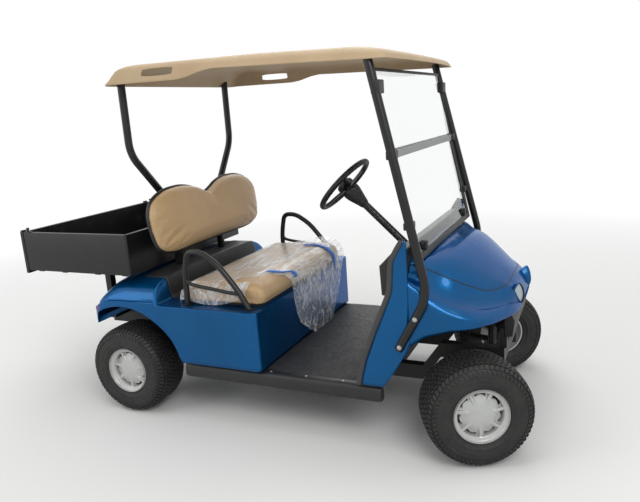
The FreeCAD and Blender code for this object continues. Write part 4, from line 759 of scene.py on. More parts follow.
def puffed(piece, cap, held):
    # a copy is remeshed, swells under pressure in Cloth, moves at most `cap` and not where held, and is subdivided
    copy = placed("copy", piece.data.copy())
    remesh = copy.modifiers.new("Even", "REMESH")
    remesh.mode = "VOXEL"
    remesh.voxel_size = swell["voxel"]
    pad = placed("pad", shownMesh(copy))
    bpy.data.objects.remove(copy)
    start = pointsOf(pad.data)
    settings = pad.modifiers.new("Swell", "CLOTH").settings
    for name in list(swell)[2:]:
        setattr(settings, name, swell[name])
    settings.use_pressure = True
    settings.effector_weights.gravity = 0
    pad.vertex_groups.new(name="held").add(np.flatnonzero(held(start)).tolist(), 1.0, "REPLACE")
    settings.vertex_group_mass = "held"
    for number in range(1, swell["frames"] + 1):
        bpy.context.scene.frame_set(number)
    swollen = shownMesh(pad)
    move = pointsOf(swollen) - start
    far = np.linalg.norm(move, axis=1, keepdims=True)
    end = start + move * np.minimum(1, cap / np.maximum(far, 1e-9))
    swollen.vertices.foreach_set("co", end.ravel())
    bpy.data.objects.remove(pad)
    bpy.context.scene.frame_set(1)
    swollen.materials.clear()
    swollen.materials.append(piece.data.materials[0])
    swollen.polygons.foreach_set("use_smooth", np.ones(len(swollen.polygons), bool))
    piece.data = swollen
    subdivide(piece)


seatBack = {"half": 0.494, "tall": 0.319, "valley": 0.062, "thick": 0.070, "lean": 7.0, "ahead": 0.274,
            "low": 0.809, "inset": 0.004, "rings": 22, "edge": 0.30, "crown": 0.013, "foam": 0.020, "cap": 0.010}


def backOutline(grow, count=180):  # two lobes, a valley between them, round sides and a straight foot
    c = seatBack
    half, tall = c["half"] + grow, c["tall"]
    lobe = half / 2
    controls = np.array([
        (0.0, -grow), (half * 0.36, -grow), (half * 0.72, -grow), (half * 0.90, tall * 0.07 - grow * 0.7),
        (half * 0.975, tall * 0.24), (half, tall * 0.52), (half * 0.975, tall * 0.72),
        (half * 0.88, tall * 0.875 + grow), (half * 0.70, tall * 0.975 + grow), (lobe, tall + grow),
        (lobe * 0.72, tall - c["valley"] * 0.06 + grow),
        (lobe * 0.45, tall - c["valley"] * 0.30 + grow), (lobe * 0.2, tall - c["valley"] * 0.72 + grow),
        (0.0, tall - c["valley"] + grow)])
    right = smoothRows(controls, count)
    ring = np.concatenate([right, right[-2:0:-1] * np.array([-1, 1])])
    for _ in range(2):
        ring = (np.roll(ring, 1, 0) + 2 * ring + np.roll(ring, -1, 0)) / 4
    return ring


def onBack(across, up, ahead):  # seat-back plane to the cart's frame: leaned back about its low edge
    lean = math.radians(seatBack["lean"])
    x = rearX + seatBack["ahead"] + ahead * math.cos(lean) - up * math.sin(lean)
    z = seatBack["low"] + up * math.cos(lean) + ahead * math.sin(lean)
    return np.stack([x, np.broadcast_to(across, x.shape), z], -1)


def buildSeatBack():
    c = seatBack
    ring = backOutline(-c["inset"])
    heart = np.array([0, c["tall"] * 0.46])
    # share of the way in from the rim, depth in front of the shell: steep at the rim, then crowned
    share = np.linspace(0, 1, c["rings"]) ** 1.6
    rimDepth = (1 - (1 - np.clip(share / c["edge"], 0, 1)) ** 2.4) ** 0.55
    depth = rimDepth * (c["thick"] - c["foam"] - c["crown"]) + c["crown"] * (1 - (1 - share) ** 2)
    rings = [onBack(ring[:, 0], ring[:, 1], np.full(len(ring), -c["thick"])),
             onBack(ring[:, 0] * 1.004, ring[:, 1], np.full(len(ring), -c["thick"] + 0.010))]
    for k, d in zip(1 - share * 0.985, depth):
        flat = heart + (ring - heart) * k
        rings.append(onBack(flat[:, 0], flat[:, 1], np.full(len(ring), -c["thick"] + c["foam"] + d)))
    cushion = finished("seat_back_cushion", closedTube(np.stack(rings)), seatTan)
    lean = math.radians(c["lean"])
    backward = np.array([math.cos(lean), 0, math.sin(lean)])
    foot = np.array([rearX + c["ahead"], 0, c["low"]])
    puffed(cushion, c["cap"], lambda co: (co - foot) @ backward < -c["thick"] + c["foam"] + 0.002)
    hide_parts("seat_back")

    # moulded shell behind the foam, with a lip that shows round its edge, as (growth, depth behind the foam)
    rings = []
    for grow, behind in ((0.004, -0.006), (0.006, 0.001), (0.002, 0.009), (-0.02, 0.011), (-0.05, 0.0105)):
        edge = backOutline(grow)
        rings.append(onBack(edge[:, 0], edge[:, 1], np.full(len(edge), -c["thick"] - behind)))
    edge = heart + (edge - heart) * 0.03
    rings.append(onBack(edge[:, 0], edge[:, 1], np.full(len(edge), -c["thick"] - 0.0105)))
    finished("back_shell", closedTube(np.stack(rings)), blackPlastic, node="seat_back_shell")


buildSeatBack()

bench = {"half": 0.478, "depth": 0.460, "thick": 0.092, "gap": 0.0103, "deck": 0.578, "rear": -0.3277,
         "endRound": 0.055, "rows": 96, "inset": 0.003, "cap": 0.008, "held": 0.006}


def benchProfile(count=72):  # side profile from the rear foot, over the crowned top and down the front
    d, h = bench["depth"], bench["thick"]
    controls = np.array([
        (0.004, 0.0), (0.0, h * 0.25), (0.001, h * 0.55), (0.014, h * 0.80), (0.06, h * 0.90), (0.16, h * 0.93),
        (0.26, h * 0.965), (0.35, h * 1.0), (0.405, h * 0.985), (0.440, h * 0.86), (d - 0.006, h * 0.62),
        (d, h * 0.38), (d - 0.006, h * 0.14), (d - 0.024, 0.0)])
    return smoothRows(controls, count)


def benchTop(x, y):  # height of the cushion's top at a place, for what lies on it
    top = benchProfile(200)[12:150]
    top = top[np.argsort(top[:, 0])]
    up = np.interp(x - bench["rear"], *top.T)
    near = np.clip((np.abs(y) - (bench["half"] - bench["endRound"])) / bench["endRound"], 0, 1)
    return bench["deck"] + bench["gap"] + up - near ** 2.4 * 0.030


def buildBench():
    c = bench
    profile = benchProfile()
    y = np.sin(np.linspace(-1, 1, c["rows"]) * math.pi / 2) * (c["half"] - c["inset"])
    near = np.clip((np.abs(y) - (c["half"] - c["endRound"])) / (c["endRound"] - c["inset"]), 0, 1)
    shrink = 1 - (1 - np.sqrt(np.clip(1 - near ** 2.6, 0, 1))) * 0.34
    heart = np.array([c["depth"] * 0.5, c["thick"] * 0.30])
    crown = 1 + 0.03 * np.cos(np.clip(y / c["half"], -1, 1) * math.pi)
    flat = heart + (profile[None] - heart) * shrink[:, None, None]
    flat[..., 1] = np.clip(flat[..., 1], 0, None) * crown[:, None]
    grid = np.stack([c["rear"] + flat[..., 0], np.broadcast_to(y[:, None], flat[..., 0].shape),
                     c["deck"] + c["gap"] + flat[..., 1]], -1)
    cushion = finished("seat_cushion", closedTube(grid), seatTan, "seat")
    puffed(cushion, c["cap"], lambda co: co[:, 2] < c["deck"] + c["gap"] + c["held"])
    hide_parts("seat_bottom")


buildBench()
print("seats built")


# Clear film over the cushion, drawn over the front edge and hanging in a corner, held by two tapes.
film = {"cut": (0.760, 0.930), "area": 0.61, "endCut": (0.400, 0.160), "endArea": 0.0465, "rows": 164,
        "columns": 148, "endRows": 34, "endColumns": 110, "endX": (-0.330, 0.375), "endY": -0.432,
        "endOut": 0.054, "pleat": 0.006, "over": 0.0022, "back": -0.322, "front": 0.120, "topShare": 0.50,
        "rearY": (-0.448, 0.903), "frontY": (-0.222, 0.702), "ridge": 0.0045, "fold": 0.016,
        "fan": 0.008, "flapFrom": 0.86, "flapTall": 0.046, "flapOut": 0.014, "tapeUp": 0.0082}
# how low the hanging corner reaches at each place across
hangLow = [(-0.222, 0.625), (-0.214, 0.520), (-0.165, 0.405), (-0.060, 0.330), (0.060, 0.262), (0.140, 0.252),
           (0.255, 0.292), (0.360, 0.410), (0.450, 0.545), (0.480, 0.590)]
# each tape's line over the cushion, width, and length down the front
tapeLines = {"tape_near": ([(0.040, -0.262), (0.075, -0.246), (0.105, -0.205), (0.119, -0.150)], 0.030, 0.022),
             "tape_far": ([(-0.045, 0.330), (0.03, 0.326), (0.09, 0.322), (0.119, 0.316)], 0.040, 0.115)}


def crinkle(along, across, seed, fine=1.0):  # sharp random ridges, from -1 to 1, mostly along one way
    random = np.random.default_rng(seed)
    total = np.zeros(np.broadcast(along, across).shape)
    weight = 0
    for k in range(16):
        size = random.uniform(9, 60) * fine
        lean = random.normal(0, 0.38)
        drift = random.uniform(0, 6.28, 3)
        bend = random.uniform(1.5, 5.0)
        phase = size * (along * math.cos(lean) + across * math.sin(lean)) + drift[0]
        phase = phase + 1.3 * np.sin(bend * across + drift[1]) + 0.7 * np.sin(bend * 2.1 * along + drift[2])
        share = 1 / (0.6 + size / 20)
        total = total + share * (1 - 2 * np.abs(np.sin(phase)) ** 0.7)
        weight += share
    return total / weight


def cushionTop(x, y):  # a ray cast down at each place finds the swollen cushion; past its edge the profile goes on
    heights = benchTop(x, y)
    cushion = BVHTree.FromObject(bpy.data.objects["seat_cushion"], bpy.context.evaluated_depsgraph_get())
    found = [cushion.ray_cast(Vector((a, b, 0.9)), Vector((0, 0, -1)))[0] for a, b in zip(x.flat, y.flat)]
    seen = np.array([hit.z if hit else -1.0 for hit in found]).reshape(x.shape)
    return np.maximum(heights, seen)


def buildFilm():
    c = film
    u = np.linspace(0, 1, c["columns"])[None]
    v = np.linspace(0, 1, c["rows"])[:, None]
    rearY, frontY = (start + reach * u for start, reach in (c["rearY"], c["frontY"]))
    topShare = c["topShare"]
    t = np.clip(v / topShare, 0, 1)
    x = c["back"] + (c["front"] - c["back"]) * t + 0 * u
    y = rearY * (1 - t ** 3) + frontY * t ** 3
    top = cushionTop(x, y)
    low = np.interp(frontY, *np.transpose(hangLow))
    d = np.clip((v - topShare) / (1 - topShare), 0, 1)
    edge = cushionTop(np.full_like(y, c["front"]), y)
    fall = edge - (edge - low) * d
    bulge = 0.024 * (1 - np.exp(-(edge - fall) / 0.020)) + 0.008 * np.sin(np.pi * np.clip(d * 1.1, 0, 1))
    hanging = v > topShare
    z = np.where(hanging, fall, top)
    x = np.where(hanging, c["front"] + bulge, x)
    y = np.where(hanging, y * (1 - 0.05 * d) + 0.004 * d, y)
    ridges = crinkle(x * 1.5 + z * 0.6, y * 0.5, 11)
    folds = crinkle(y * 2.0 + x * 0.4, z * 0.5, 5, 0.8)
    fan = crinkle(y * 1.2 - z * 0.9, z * 0.9 + y * 0.4, 9, 0.7)
    onTop = c["over"] + c["ridge"] * (ridges + 0.60)
    onFront = (c["fold"] * (folds + 0.45) + c["fan"] * (fan + 0.3)) * np.clip(d * 4, 0.15, 1)
    onFront = 0.004 + onFront + 0.002 * ridges
    blend = np.clip((v - topShare + 0.03) / 0.06, 0, 1)
    z = z + onTop * (1 - blend) + 0.0015 * ridges * blend
    x = x + np.maximum(onFront, 0.0015) * blend
    y = y + 0.004 * crinkle(x * 1.2, z, 23) * (0.3 + 0.7 * blend)
    # the loose far corner stands up in a crumpled flap
    flap = np.clip((u - c["flapFrom"]) / (1 - c["flapFrom"]), 0, 1) ** 1.5
    flap = flap * np.clip((t - 0.35) / 0.35, 0, 1) * (1 - np.clip(d * 2.2, 0, 1))
    z = z + (c["flapTall"] + 0.012 * fan) * flap
    y = y + c["flapOut"] * flap
    sheet = pieceFrom("seat_film", gridShape(np.stack([x, y, z], -1)), filmClear, "seat")
    subdivide(sheet)
    return sheet


def buildFilmEnd():  # the film gathered over the near end
    c = film
    u = np.linspace(0, 1, c["endColumns"])[None]
    v = np.linspace(0, 1, c["endRows"])[:, None]
    x = c["endX"][0] + c["endX"][1] * u + 0 * v
    depth = 0.018 + 0.060 * np.sin(np.pi * np.clip(u * 0.9 + 0.08, 0, 1)) ** 0.7
    y = c["endY"] - c["endOut"] * np.sin(np.clip(v * 2.2, 0, 1) * np.pi / 2) + 0 * u
    z = cushionTop(x, np.maximum(y, -0.470)) - np.clip((v - 0.35) / 0.65, 0, 1) * depth + 0.004
    pleats = crinkle(x * 3.0, z * 0.4, 31, 0.9)
    y = y - c["pleat"] * (pleats + 0.5) * np.clip(v * 2, 0.1, 1)
    points, faces = gridShape(np.stack([x, y, z + 0.003 * pleats], -1))
    gather = pieceFrom("seat_film_end", (points, [face[::-1] for face in faces]), filmClear, "seat")
    subdivide(gather)
    return gather


def buildTape(name, line, width, down):
    path = smoothRows(line, 30)
    ends = np.array([-0.5, 0.5]) * width
    x, y = path[:, :1] + 0 * ends, path[:, 1:] + ends
    z = cushionTop(x, y) + film["tapeUp"]
    drop = np.linspace(0.15, 1, 10)[:, None] * down
    fallX = film["front"] + 0.008 + 0.024 * (1 - np.exp(-drop / 0.02))
    fall = np.stack(np.broadcast_arrays(fallX, y[-1:], z[-1:] - 0.004 - drop), -1)
    tape = pieceFrom(name, gridShape(np.concatenate([np.stack([x, y, z], -1), fall])), tapeBlue, "seat")
    thicken(tape, 0.0020, 1.0)
    return tape


sheet, gather = buildFilm(), buildFilmEnd()
tapes = [buildTape(name, *line) for name, line in tapeLines.items()]
print("film built")


# Rear body: seat pod, shoulders and fenders as one skin, open over the batteries.
rearBody = {
    "podAhead": 0.772, "podZ": 0.578, "half": 0.557, "deckAhead": 0.186, "tailBehind": 0.209, "stepLong": 0.034,
    "sillZ": 0.296, "tailLow": 0.421, "archRadius": 0.335, "flare": 0.009, "flareReach": 0.075, "wall": 0.005,
    "flatHalf": 0.33, "cornerRadius": 0.030, "edgeRadius": 0.014, "camber": 0.006,
    "tailPinch": 0.045, "shoulderIn": 0.010, "underCrease": 0.03, "tailStart": -0.14,
    "bayBack": 0.374, "bayFront": 0.694, "bayHalf": 0.40, "lastColumn": 0.43,
    # distance ahead of the rear axle and height of the deck's middle line, then of the crease below the shoulder
    "topLine": [(-0.209, 0.520), (-0.203, 0.552), (-0.188, 0.585), (-0.150, 0.628), (-0.100, 0.668),
                (-0.050, 0.688), (0.0, 0.694), (0.186, 0.694)],
    "creaseLine": [(-0.209, 0.475), (-0.16, 0.560), (-0.08, 0.588), (0.0, 0.592)],
}


def bodyStations():
    c = rearBody
    tail = -c["tailBehind"] + 0.05 * (1 - np.cos(np.linspace(0, math.pi / 2, 9)))
    stations = [tail]
    for end, count in ((c["deckAhead"], 44), (c["deckAhead"] + c["stepLong"], 9), (c["bayBack"], 16),
                       (c["bayFront"], 20), (c["podAhead"] - c["cornerRadius"], 5)):
        stations.append(np.linspace(stations[-1][-1], end, count)[1:])
    corner = c["podAhead"] - c["cornerRadius"] * (1 - np.sin(np.linspace(0, math.pi / 2, 10)[1:]))
    return np.concatenate(stations + [corner])


def bodySkin():  # distance ahead of the rear axle of each station, and its half section as (across, height)
    c = rearBody
    ahead = bodyStations()
    rise = stepUp(ahead, c["deckAhead"], c["deckAhead"] + c["stepLong"])
    top = np.interp(ahead, *np.transpose(c["topLine"])) * (1 - rise) + c["podZ"] * rise
    crease = np.interp(ahead, *np.transpose(c["creaseLine"])) * (1 - rise) + (c["podZ"] - 0.004) * rise
    crease = np.minimum(crease, top - 0.002)
    # plan: straight sides, rounded front corners, a fuller round at the tail
    front = np.clip((ahead - c["podAhead"]) / c["cornerRadius"] + 1, 0, 1)
    back = np.clip((-ahead - 0.10) / (c["tailBehind"] - 0.10), 0, 1)
    half = c["half"] - c["cornerRadius"] * (1 - np.sqrt(1 - front ** 2)) - c["tailPinch"] * back ** 2.6
    flat = np.minimum(c["flatHalf"] * (1 - rise) + (half - c["edgeRadius"]) * rise, half - c["edgeRadius"])
    low = np.maximum(c["sillZ"], axleZ + np.sqrt(np.clip(c["archRadius"] ** 2 - ahead ** 2, 0, None)))
    high = crease - c["underCrease"]
    low = np.maximum(np.minimum(low, high), np.where(ahead < c["tailStart"], c["tailLow"], 0))
    low = np.minimum(low, high)
    inBay = (ahead > c["deckAhead"] + 0.04)[:, None]
    at, top, crease, half, flat, low, deck = (v[:, None] for v in (ahead, top, crease, half, flat, low, 1 - rise))
    columns = np.append(np.linspace(0, c["bayHalf"], 13), c["lastColumn"])
    flatY = np.where(inBay & (columns < c["lastColumn"]), columns, columns / c["lastColumn"] * flat)
    drop = c["camber"] * deck
    flatPart = np.stack([flatY, top - drop * (flatY / flat) ** 2], -1)
    a = np.linspace(0, math.pi / 2, 15)[1:]
    edge = half - c["shoulderIn"] * deck
    shoulder = np.stack([flat + (edge - flat) * np.sin(a) ** (1 - 0.18 * deck),
                         crease + (top - drop - crease) * np.cos(a) ** (0.9 + 0.25 * deck)], -1)
    t = np.linspace(0, 1, 26)[1:]
    side = np.stack([edge + (half - edge) * np.clip(t / 0.10, 0, 1), crease + (low - crease) * t ** 1.25], -1)
    section = np.concatenate([flatPart, shoulder, side], 1)
    # the fender swells outward round the arch and runs out above the sill
    across, height = section[..., 0], section[..., 1] - axleZ
    near = np.clip(1 - (np.hypot(at, height) - c["archRadius"]) / c["flareReach"], 0, 1)
    strong = np.clip((np.degrees(np.arctan2(height, at)) - 32) / 22, 0, 1) * (across > 0.45)
    across += c["flare"] * eased(near) * strong
    return ahead, section


def buildRearBody():
    c = rearBody
    ahead, section = bodySkin()
    x = np.broadcast_to((rearX + ahead)[:, None], section.shape[:2])
    far = np.stack([x, section[..., 0], section[..., 1]], -1)
    grid = np.concatenate([far[:, ::-1] * acrossY, far[:, 1:]], 1)
    points, faces = gridShape(grid)
    x, y, z = points[np.array(faces)].mean(1).T
    inBay = (x > rearX + c["bayBack"]) & (x < rearX + c["bayFront"])
    inBay &= (np.abs(y) < c["bayHalf"]) & (z > c["podZ"] - 0.02)
    faces = np.array(faces)[~inBay].tolist()
    rows, columns = grid.shape[:2]
    last = (rows - 1) * columns
    for i in range(columns // 2):  # strips across the front wall, and the tail's upper wall
        j = columns - 1 - i
        for strip in ([last + i, last + i + 1, last + j - 1, last + j], [i, j, j - 1, i + 1]):
            faces.append(list(dict.fromkeys(strip)))
    finished("rear_body_shell", (points, faces), paintBlue, merge=0.00002, sharp=50, wall=(c["wall"],),
             node="rear_body")


seatWell = {"from": 0.055, "to": 0.284, "half": 0.430, "proud": 0.0034, "wall": 0.0018}


def buildSeatWell():  # black moulding behind the cushion, over the deck's step and under the seat back
    c = seatWell
    ahead, section = bodySkin()
    rows = (ahead > c["from"]) & (ahead < c["to"])
    y = np.linspace(-c["half"], c["half"], 61)
    z = np.stack([np.interp(np.abs(y), *row[:44].T) for row in section[rows]])
    grid = np.stack(np.broadcast_arrays((rearX + ahead[rows])[:, None] + c["proud"], y, z + c["proud"]), -1)
    finished("seat_well", gridShape(grid), blackPlastic, wall=(c["wall"],))


buildRearBody()
buildSeatWell()
print("rear body built")


# Wheels: tyres with a sawtooth block tread and silver covers with seven spokes.
tyre = {"turn": 27, "blockTall": 0.0062, "blockInset": 0.0013, "bead": 0.1125, "beadHalf": 0.0855, "rows": 64,
        "sides": 128}
tyreWall = [(0.2180, 0.0), (0.2176, 0.028), (0.2162, 0.056), (0.2120, 0.079), (0.2040, 0.0935), (0.1920, 0.1005),
            (0.1780, 0.1030), (0.1640, 0.1028), (0.1600, 0.1037), (0.1560, 0.1026), (0.1440, 0.1006),
            (0.1400, 0.1014), (0.1360, 0.0994), (0.1260, 0.0945), (0.1190, 0.0925), (0.1150, 0.0895)]
# distance from the crown's middle, half length across, lean round the tyre, share of the height
treadRows = [(0.0, 0.0085, 0.0, 1.0), (0.0205, 0.0095, 0.5, 1.0), (0.0425, 0.0095, -0.5, 1.0),
             (0.0645, 0.0095, 0.5, 0.95), (0.0880, 0.0105, -0.35, 0.85), (0.1105, 0.0080, 0.35, 0.5)]
blockFaces = np.array([[0, 1, 3, 2], [2, 3, 5, 4], [6, 8, 9, 7], [8, 10, 11, 9], [0, 6, 7, 1], [4, 5, 11, 10],
                       [0, 2, 8, 6], [2, 4, 10, 8], [1, 7, 9, 3], [3, 9, 11, 5]])


def inWheel(points, end, side):  # local (along, outward, up) to the frame; the front wheels are turned
    turn = math.radians(tyre["turn"]) if end == "front" else 0.0
    outward = np.array([-math.sin(turn), math.cos(turn), 0]) * (1 if side == "left" else -1)
    axes = np.array([np.cross(outward, (0, 0, 1)), outward, (0, 0, 1)])
    return np.array(middle(f"tyre_{end}_{side}")) + points @ axes


def treadBlocks():
    wall = smoothRows(tyreWall[:8], 120)
    length = lengthAlong(wall)
    slope = unit(np.gradient(wall, axis=0))
    normal = slope[:, ::-1] * (1, -1)
    pitch = 2 * np.pi / tyre["rows"]
    parts = []
    for sign in (1, -1):
        for number, (at, half, lean, share) in enumerate(treadRows):
            if number == 0 and sign < 0:
                continue
            rings = []
            for inset, tall in ((tyre["blockInset"], tyre["blockTall"] * share), (0, -0.002)):
                s = at + (half - inset) * np.array([-1, 0, 1])
                radius, out = (np.interp(np.abs(s), length, v)[:, None] for v in (wall + tall * normal).T)
                out = out * np.where(s < 0, -sign, sign)[:, None]
                skew = lean * pitch * (s - at) / half * 0.5
                wide = pitch * 0.40 - inset / 0.22
                angle = np.arange(tyre["rows"])[:, None, None] * pitch + (number % 2) * pitch / 2
                angle = angle + skew[:, None] + wide * np.array([-1, 1])
                ring = np.broadcast_arrays(radius * np.cos(angle), out, radius * np.sin(angle))
                rings.append(np.stack(ring, -1).reshape(-1, 6, 3))
            points = np.concatenate(rings, 1)
            faces = (blockFaces + 12 * np.arange(len(points))[:, None, None]).reshape(-1, 4)
            parts.append((points, faces.tolist()))
    return joined(parts)


def carcass():
    half = np.concatenate([smoothRows(tyreWall, 46), [[tyre["bead"], tyre["beadHalf"]]]])
    return spun(np.concatenate([half, (half * (1, -1))[::-1][:-1]]), tyre["sides"], closeRows=True)


cover = {"spokes": 7, "columns": 336, "rows": 66, "radius": 0.1165, "ringIn": 0.0945, "petalEnd": 0.0858,
         "spokeHalf": 0.0062, "spokeEdge": 0.0028, "spokeTop": 0.0792, "wellDepth": 0.046, "wellEdge": 0.0012,
         "top": 0.0815, "step": 0.005}
coverRing = [(0.0945, 0.0740), (0.0958, 0.0782), (0.1005, 0.0800), (0.1075, 0.0830), (0.1100, 0.0845),
             (0.1112, 0.0885), (0.1135, 0.0915), (0.1155, 0.0912), (0.1165, 0.0885)]


def coverFace():  # a height over the wheel's plane for each radius and angle
    c = cover
    columns = c["columns"]
    radius = np.linspace(0.0, c["radius"], c["rows"])[1:, None]
    angle = np.linspace(0, 2 * np.pi, columns, endpoint=False)[None]
    sector = 2 * np.pi / c["spokes"]
    off = (angle + np.pi / 2 + sector / 2) % sector - sector / 2  # angle away from the nearest spoke
    away = np.abs(off) / (sector / 2)
    dome = c["top"] - 1.75 * radius ** 2 - c["step"] * stepUp(radius, 0.045, 0.086)
    narrow = c["spokeHalf"] * (1.12 - 2.4 * radius)
    onSpoke = 1 - stepUp(np.abs(radius * np.sin(off)), narrow, narrow + c["spokeEdge"])
    onSpoke = onSpoke * stepUp(radius, 0.030, 0.040)
    height = dome + np.maximum(c["spokeTop"] - 0.045 * radius - dome, 0) * onSpoke
    scallop = c["petalEnd"] - 0.005 * (1 - np.cos((away - 1) * np.pi))
    inWell = stepUp(radius, scallop - c["wellEdge"], scallop + c["wellEdge"]) * stepUp(away, 0.40, 0.47)
    inWell = inWell * (1 - stepUp(radius, c["ringIn"] - 0.0036, c["ringIn"] - 0.0014))
    height = height * (1 - inWell) + c["wellDepth"] * inWell
    onRing = stepUp(radius, c["ringIn"] - 0.0012, c["ringIn"] + 0.0006)
    height = height * (1 - onRing) + np.interp(radius, *np.transpose(coverRing)) * onRing
    points = np.stack(np.broadcast_arrays(radius * np.cos(angle), height, radius * np.sin(angle)), -1)
    fan = [[0, 1 + (j + 1) % columns, 1 + j] for j in range(columns)]
    faces = fan + gridFaces(c["rows"] - 1, columns, closeColumns=True, first=1)
    # faces in the windows get the near-black painted shade
    inShade = np.concatenate([np.zeros(columns), (inWell[:-1] + inWell[1:] > 0.9).ravel()]).astype(np.int32)
    return np.concatenate([[[0, c["top"], 0]], points.reshape(-1, 3)]), faces, inShade


rimBack = [(0.1165, 0.0885), (0.1112, 0.0865), (0.1108, -0.0800), (0.1165, -0.0835), (0.1160, -0.0855),
           (0.1060, -0.0855), (0.1050, -0.0790), (0.1030, -0.0700), (0.1015, 0.0100), (0.0980, 0.0300),
           (0.0900, 0.0400), (0.0400, 0.0405), (0.0330, 0.0330), (0.0300, -0.0120), (0.0160, -0.0120),
           (0.0160, 0.0350), (tiny, 0.0352)]


def buildWheels():
    rubber, rubberFaces = joined([carcass(), treadBlocks()])
    face, faces, inShade = coverFace()
    back = turned(np.concatenate([smoothRows(rimBack[:3], 7), rimBack[3:]]), 96)
    for end, side in corners:
        name, node = f"tyre_{end}_{side}", f"wheel_{end}_{side}"
        body = nodes[name]["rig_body"]
        finished(name + "_tread", (inWheel(rubber, end, side), rubberFaces), tyreRubber, body, sharp=38, node=name)
        shape = inWheel(face, end, side), faces
        piece = finished(f"cover_{end}_{side}", shape, coverSilver, body, sharp=50, node=node)
        # the window faces take the painted-shade material
        piece.data.materials.append(wellShade)
        piece.data.polygons.foreach_set("material_index", inShade)
        shape = gridShape(inWheel(back, end, side), closeColumns=True)
        finished(f"rim_{end}_{side}", shape, coverSilver, body, sharp=40, node=node)


buildWheels()
print("wheels built")


# Roof: a moulded canopy with a deeper skirt at the rear, a thin front lip and hand slots.
canopy = {"rear": 0.058, "front": 0.222, "half": 0.556, "bow": 0.044, "rearZ": 1.632, "frontZ": 1.612,
          "wall": 0.005, "slotStart": 0.281, "slotEnd": 0.476, "around": 288, "rakeReach": 0.13, "skirt": 0.054}
canopyRows = [  # height over the brim's line, inset from the plan's edge
    (0.0, 0.0), (0.006, 0.0006), (0.012, 0.0025), (0.0205, 0.0053), (0.0345, 0.0085), (0.0485, 0.0135),
    (0.0540, 0.0175), (0.0600, 0.0245), (0.0655, 0.0370), (0.0705, 0.0600), (0.0755, 0.1000), (0.0800, 0.1500),
    (0.0845, 0.2200), (0.0885, 0.3200), (0.0909, 0.4400), (0.0916, 0.5560)]
# along the roof from rear to front: share of the height, and how far the brim is lifted
canopyCrown = [(0, 0.70), (0.03, 0.92), (0.08, 1.0), (0.55, 1.0), (0.85, 0.86), (0.94, 0.68), (1.0, 0.42)]
canopyLift = [(0, -0.010), (0.30, -0.010), (0.34, -0.003), (0.39, 0.016), (0.43, 0.024), (0.6, 0.019),
              (0.9, 0.009), (0.97, 0.008), (1, 0.006)]


def canopyPlan():  # closed plan curve from the middle of the rear edge, even in length, and its two ends
    c = canopy
    start, end, h = rearX + c["rear"], frontX - c["front"], c["half"]
    y = np.linspace(h, -h, 25)
    bow = np.stack([end - c["bow"] * (y / h) ** 2, y], -1)
    points = np.concatenate([[(start, 0), (start, h)], bow, [(start, -h), (start, 0)]])
    reach = np.full(len(points), 0.001)
    reach[[1, -2]] = 0.060
    reach[[2, -3]] = 0.085
    path = roundCorners(points, reach, 10)
    length = lengthAlong(path)
    even = np.linspace(0, length[-1], c["around"] + 1)[:-1]
    return np.stack([np.interp(even, length, v) for v in path.T], -1), start, end


def buildRoof():
    c = canopy
    plan, start, end = canopyPlan()
    tall, inset = (v[:, None] for v in np.transpose(canopyRows))
    spine = np.stack([np.clip(plan[:, 0], start + c["half"] * 0.92, end - c["half"] * 0.92), 0 * plan[:, 1]], -1)
    t = (inset / c["half"])[..., None]
    flat = plan[None] * (1 - t) + spine[None] * t
    share = (flat[..., 0] - start) / (end - start)
    crown = np.interp(share, *np.transpose(canopyCrown))
    lift = np.interp(share[0], *np.transpose(canopyLift))
    # the rear wall leans forward, and the lean fades out over the top
    fade = 1 - stepUp(inset, 0.05, 0.50)
    flat[..., 0] += np.clip(1 - (plan[:, 0] - start) / c["rakeReach"], 0, 1) * np.minimum(tall, 0.07) * fade
    z = c["rearZ"] + (c["frontZ"] - c["rearZ"]) * share
    z = z + lift * (1 - np.minimum(tall / c["skirt"], 1)) + tall * crown
    # the slot's lower and upper rows curve together towards its ends
    centre, half = (c["slotStart"] + c["slotEnd"]) / 2, (c["slotEnd"] - c["slotStart"]) / 2
    place = np.abs(plan[:, 0] - rearX - centre) / half
    onSide = np.abs(plan[:, 1]) > c["half"] - 0.001
    wide = np.where(place > 1, np.clip((place - 1) / 0.25, 0, 1), np.sqrt(np.clip(1 - place ** 3, 0, 1)))
    for row in (3, 5):
        z[row] = z[4] + (z[row] - z[4]) * np.where(onSide, 0.40 + 0.60 * wide, 1)
    faces = np.array(gridFaces(*z.shape, closeColumns=True))[:, ::-1]
    faces = np.roll(faces, 1, 1)
    inSlot = onSide & (place < 1.001)
    cut = inSlot & np.roll(inSlot, -1)
    row, column = divmod(faces[:, 0], c["around"])
    faces = faces[~(np.isin(row, (3, 4)) & cut[column])].tolist()
    finished("roof_skin", (np.concatenate([flat, z[..., None]], -1), faces), roofTan, merge=0.00005,
             wall=(c["wall"],), edge=(0.0012, 2, 50), node="roof")


buildRoof()
print("roof built")


# Struts and hip loops as smooth tubes.
strut = {"rear": [(0.086, 0.447, 1.648), (0.086, 0.447, 1.300), (0.113, 0.214, 1.018)],
         "front": [(-0.348, 0.528, 1.640), (-0.130, 0.5625, 0.714), (-0.258, 0.5625, 0.480)],
         "radius": 0.0185, "oval": (0.0185, 0.0165), "boltOut": 0.0160, "bolts": (0.40, 0.93)}
# a washer and a bolt head
boltShapes = ([(tiny, 0.0), (0.0098, 0.0), (0.0098, 0.0014), (tiny, 0.0014)],
              [(tiny, 0.0012), (0.0068, 0.0012), (0.0066, 0.0052), (0.0045, 0.0066), (tiny, 0.0068)])


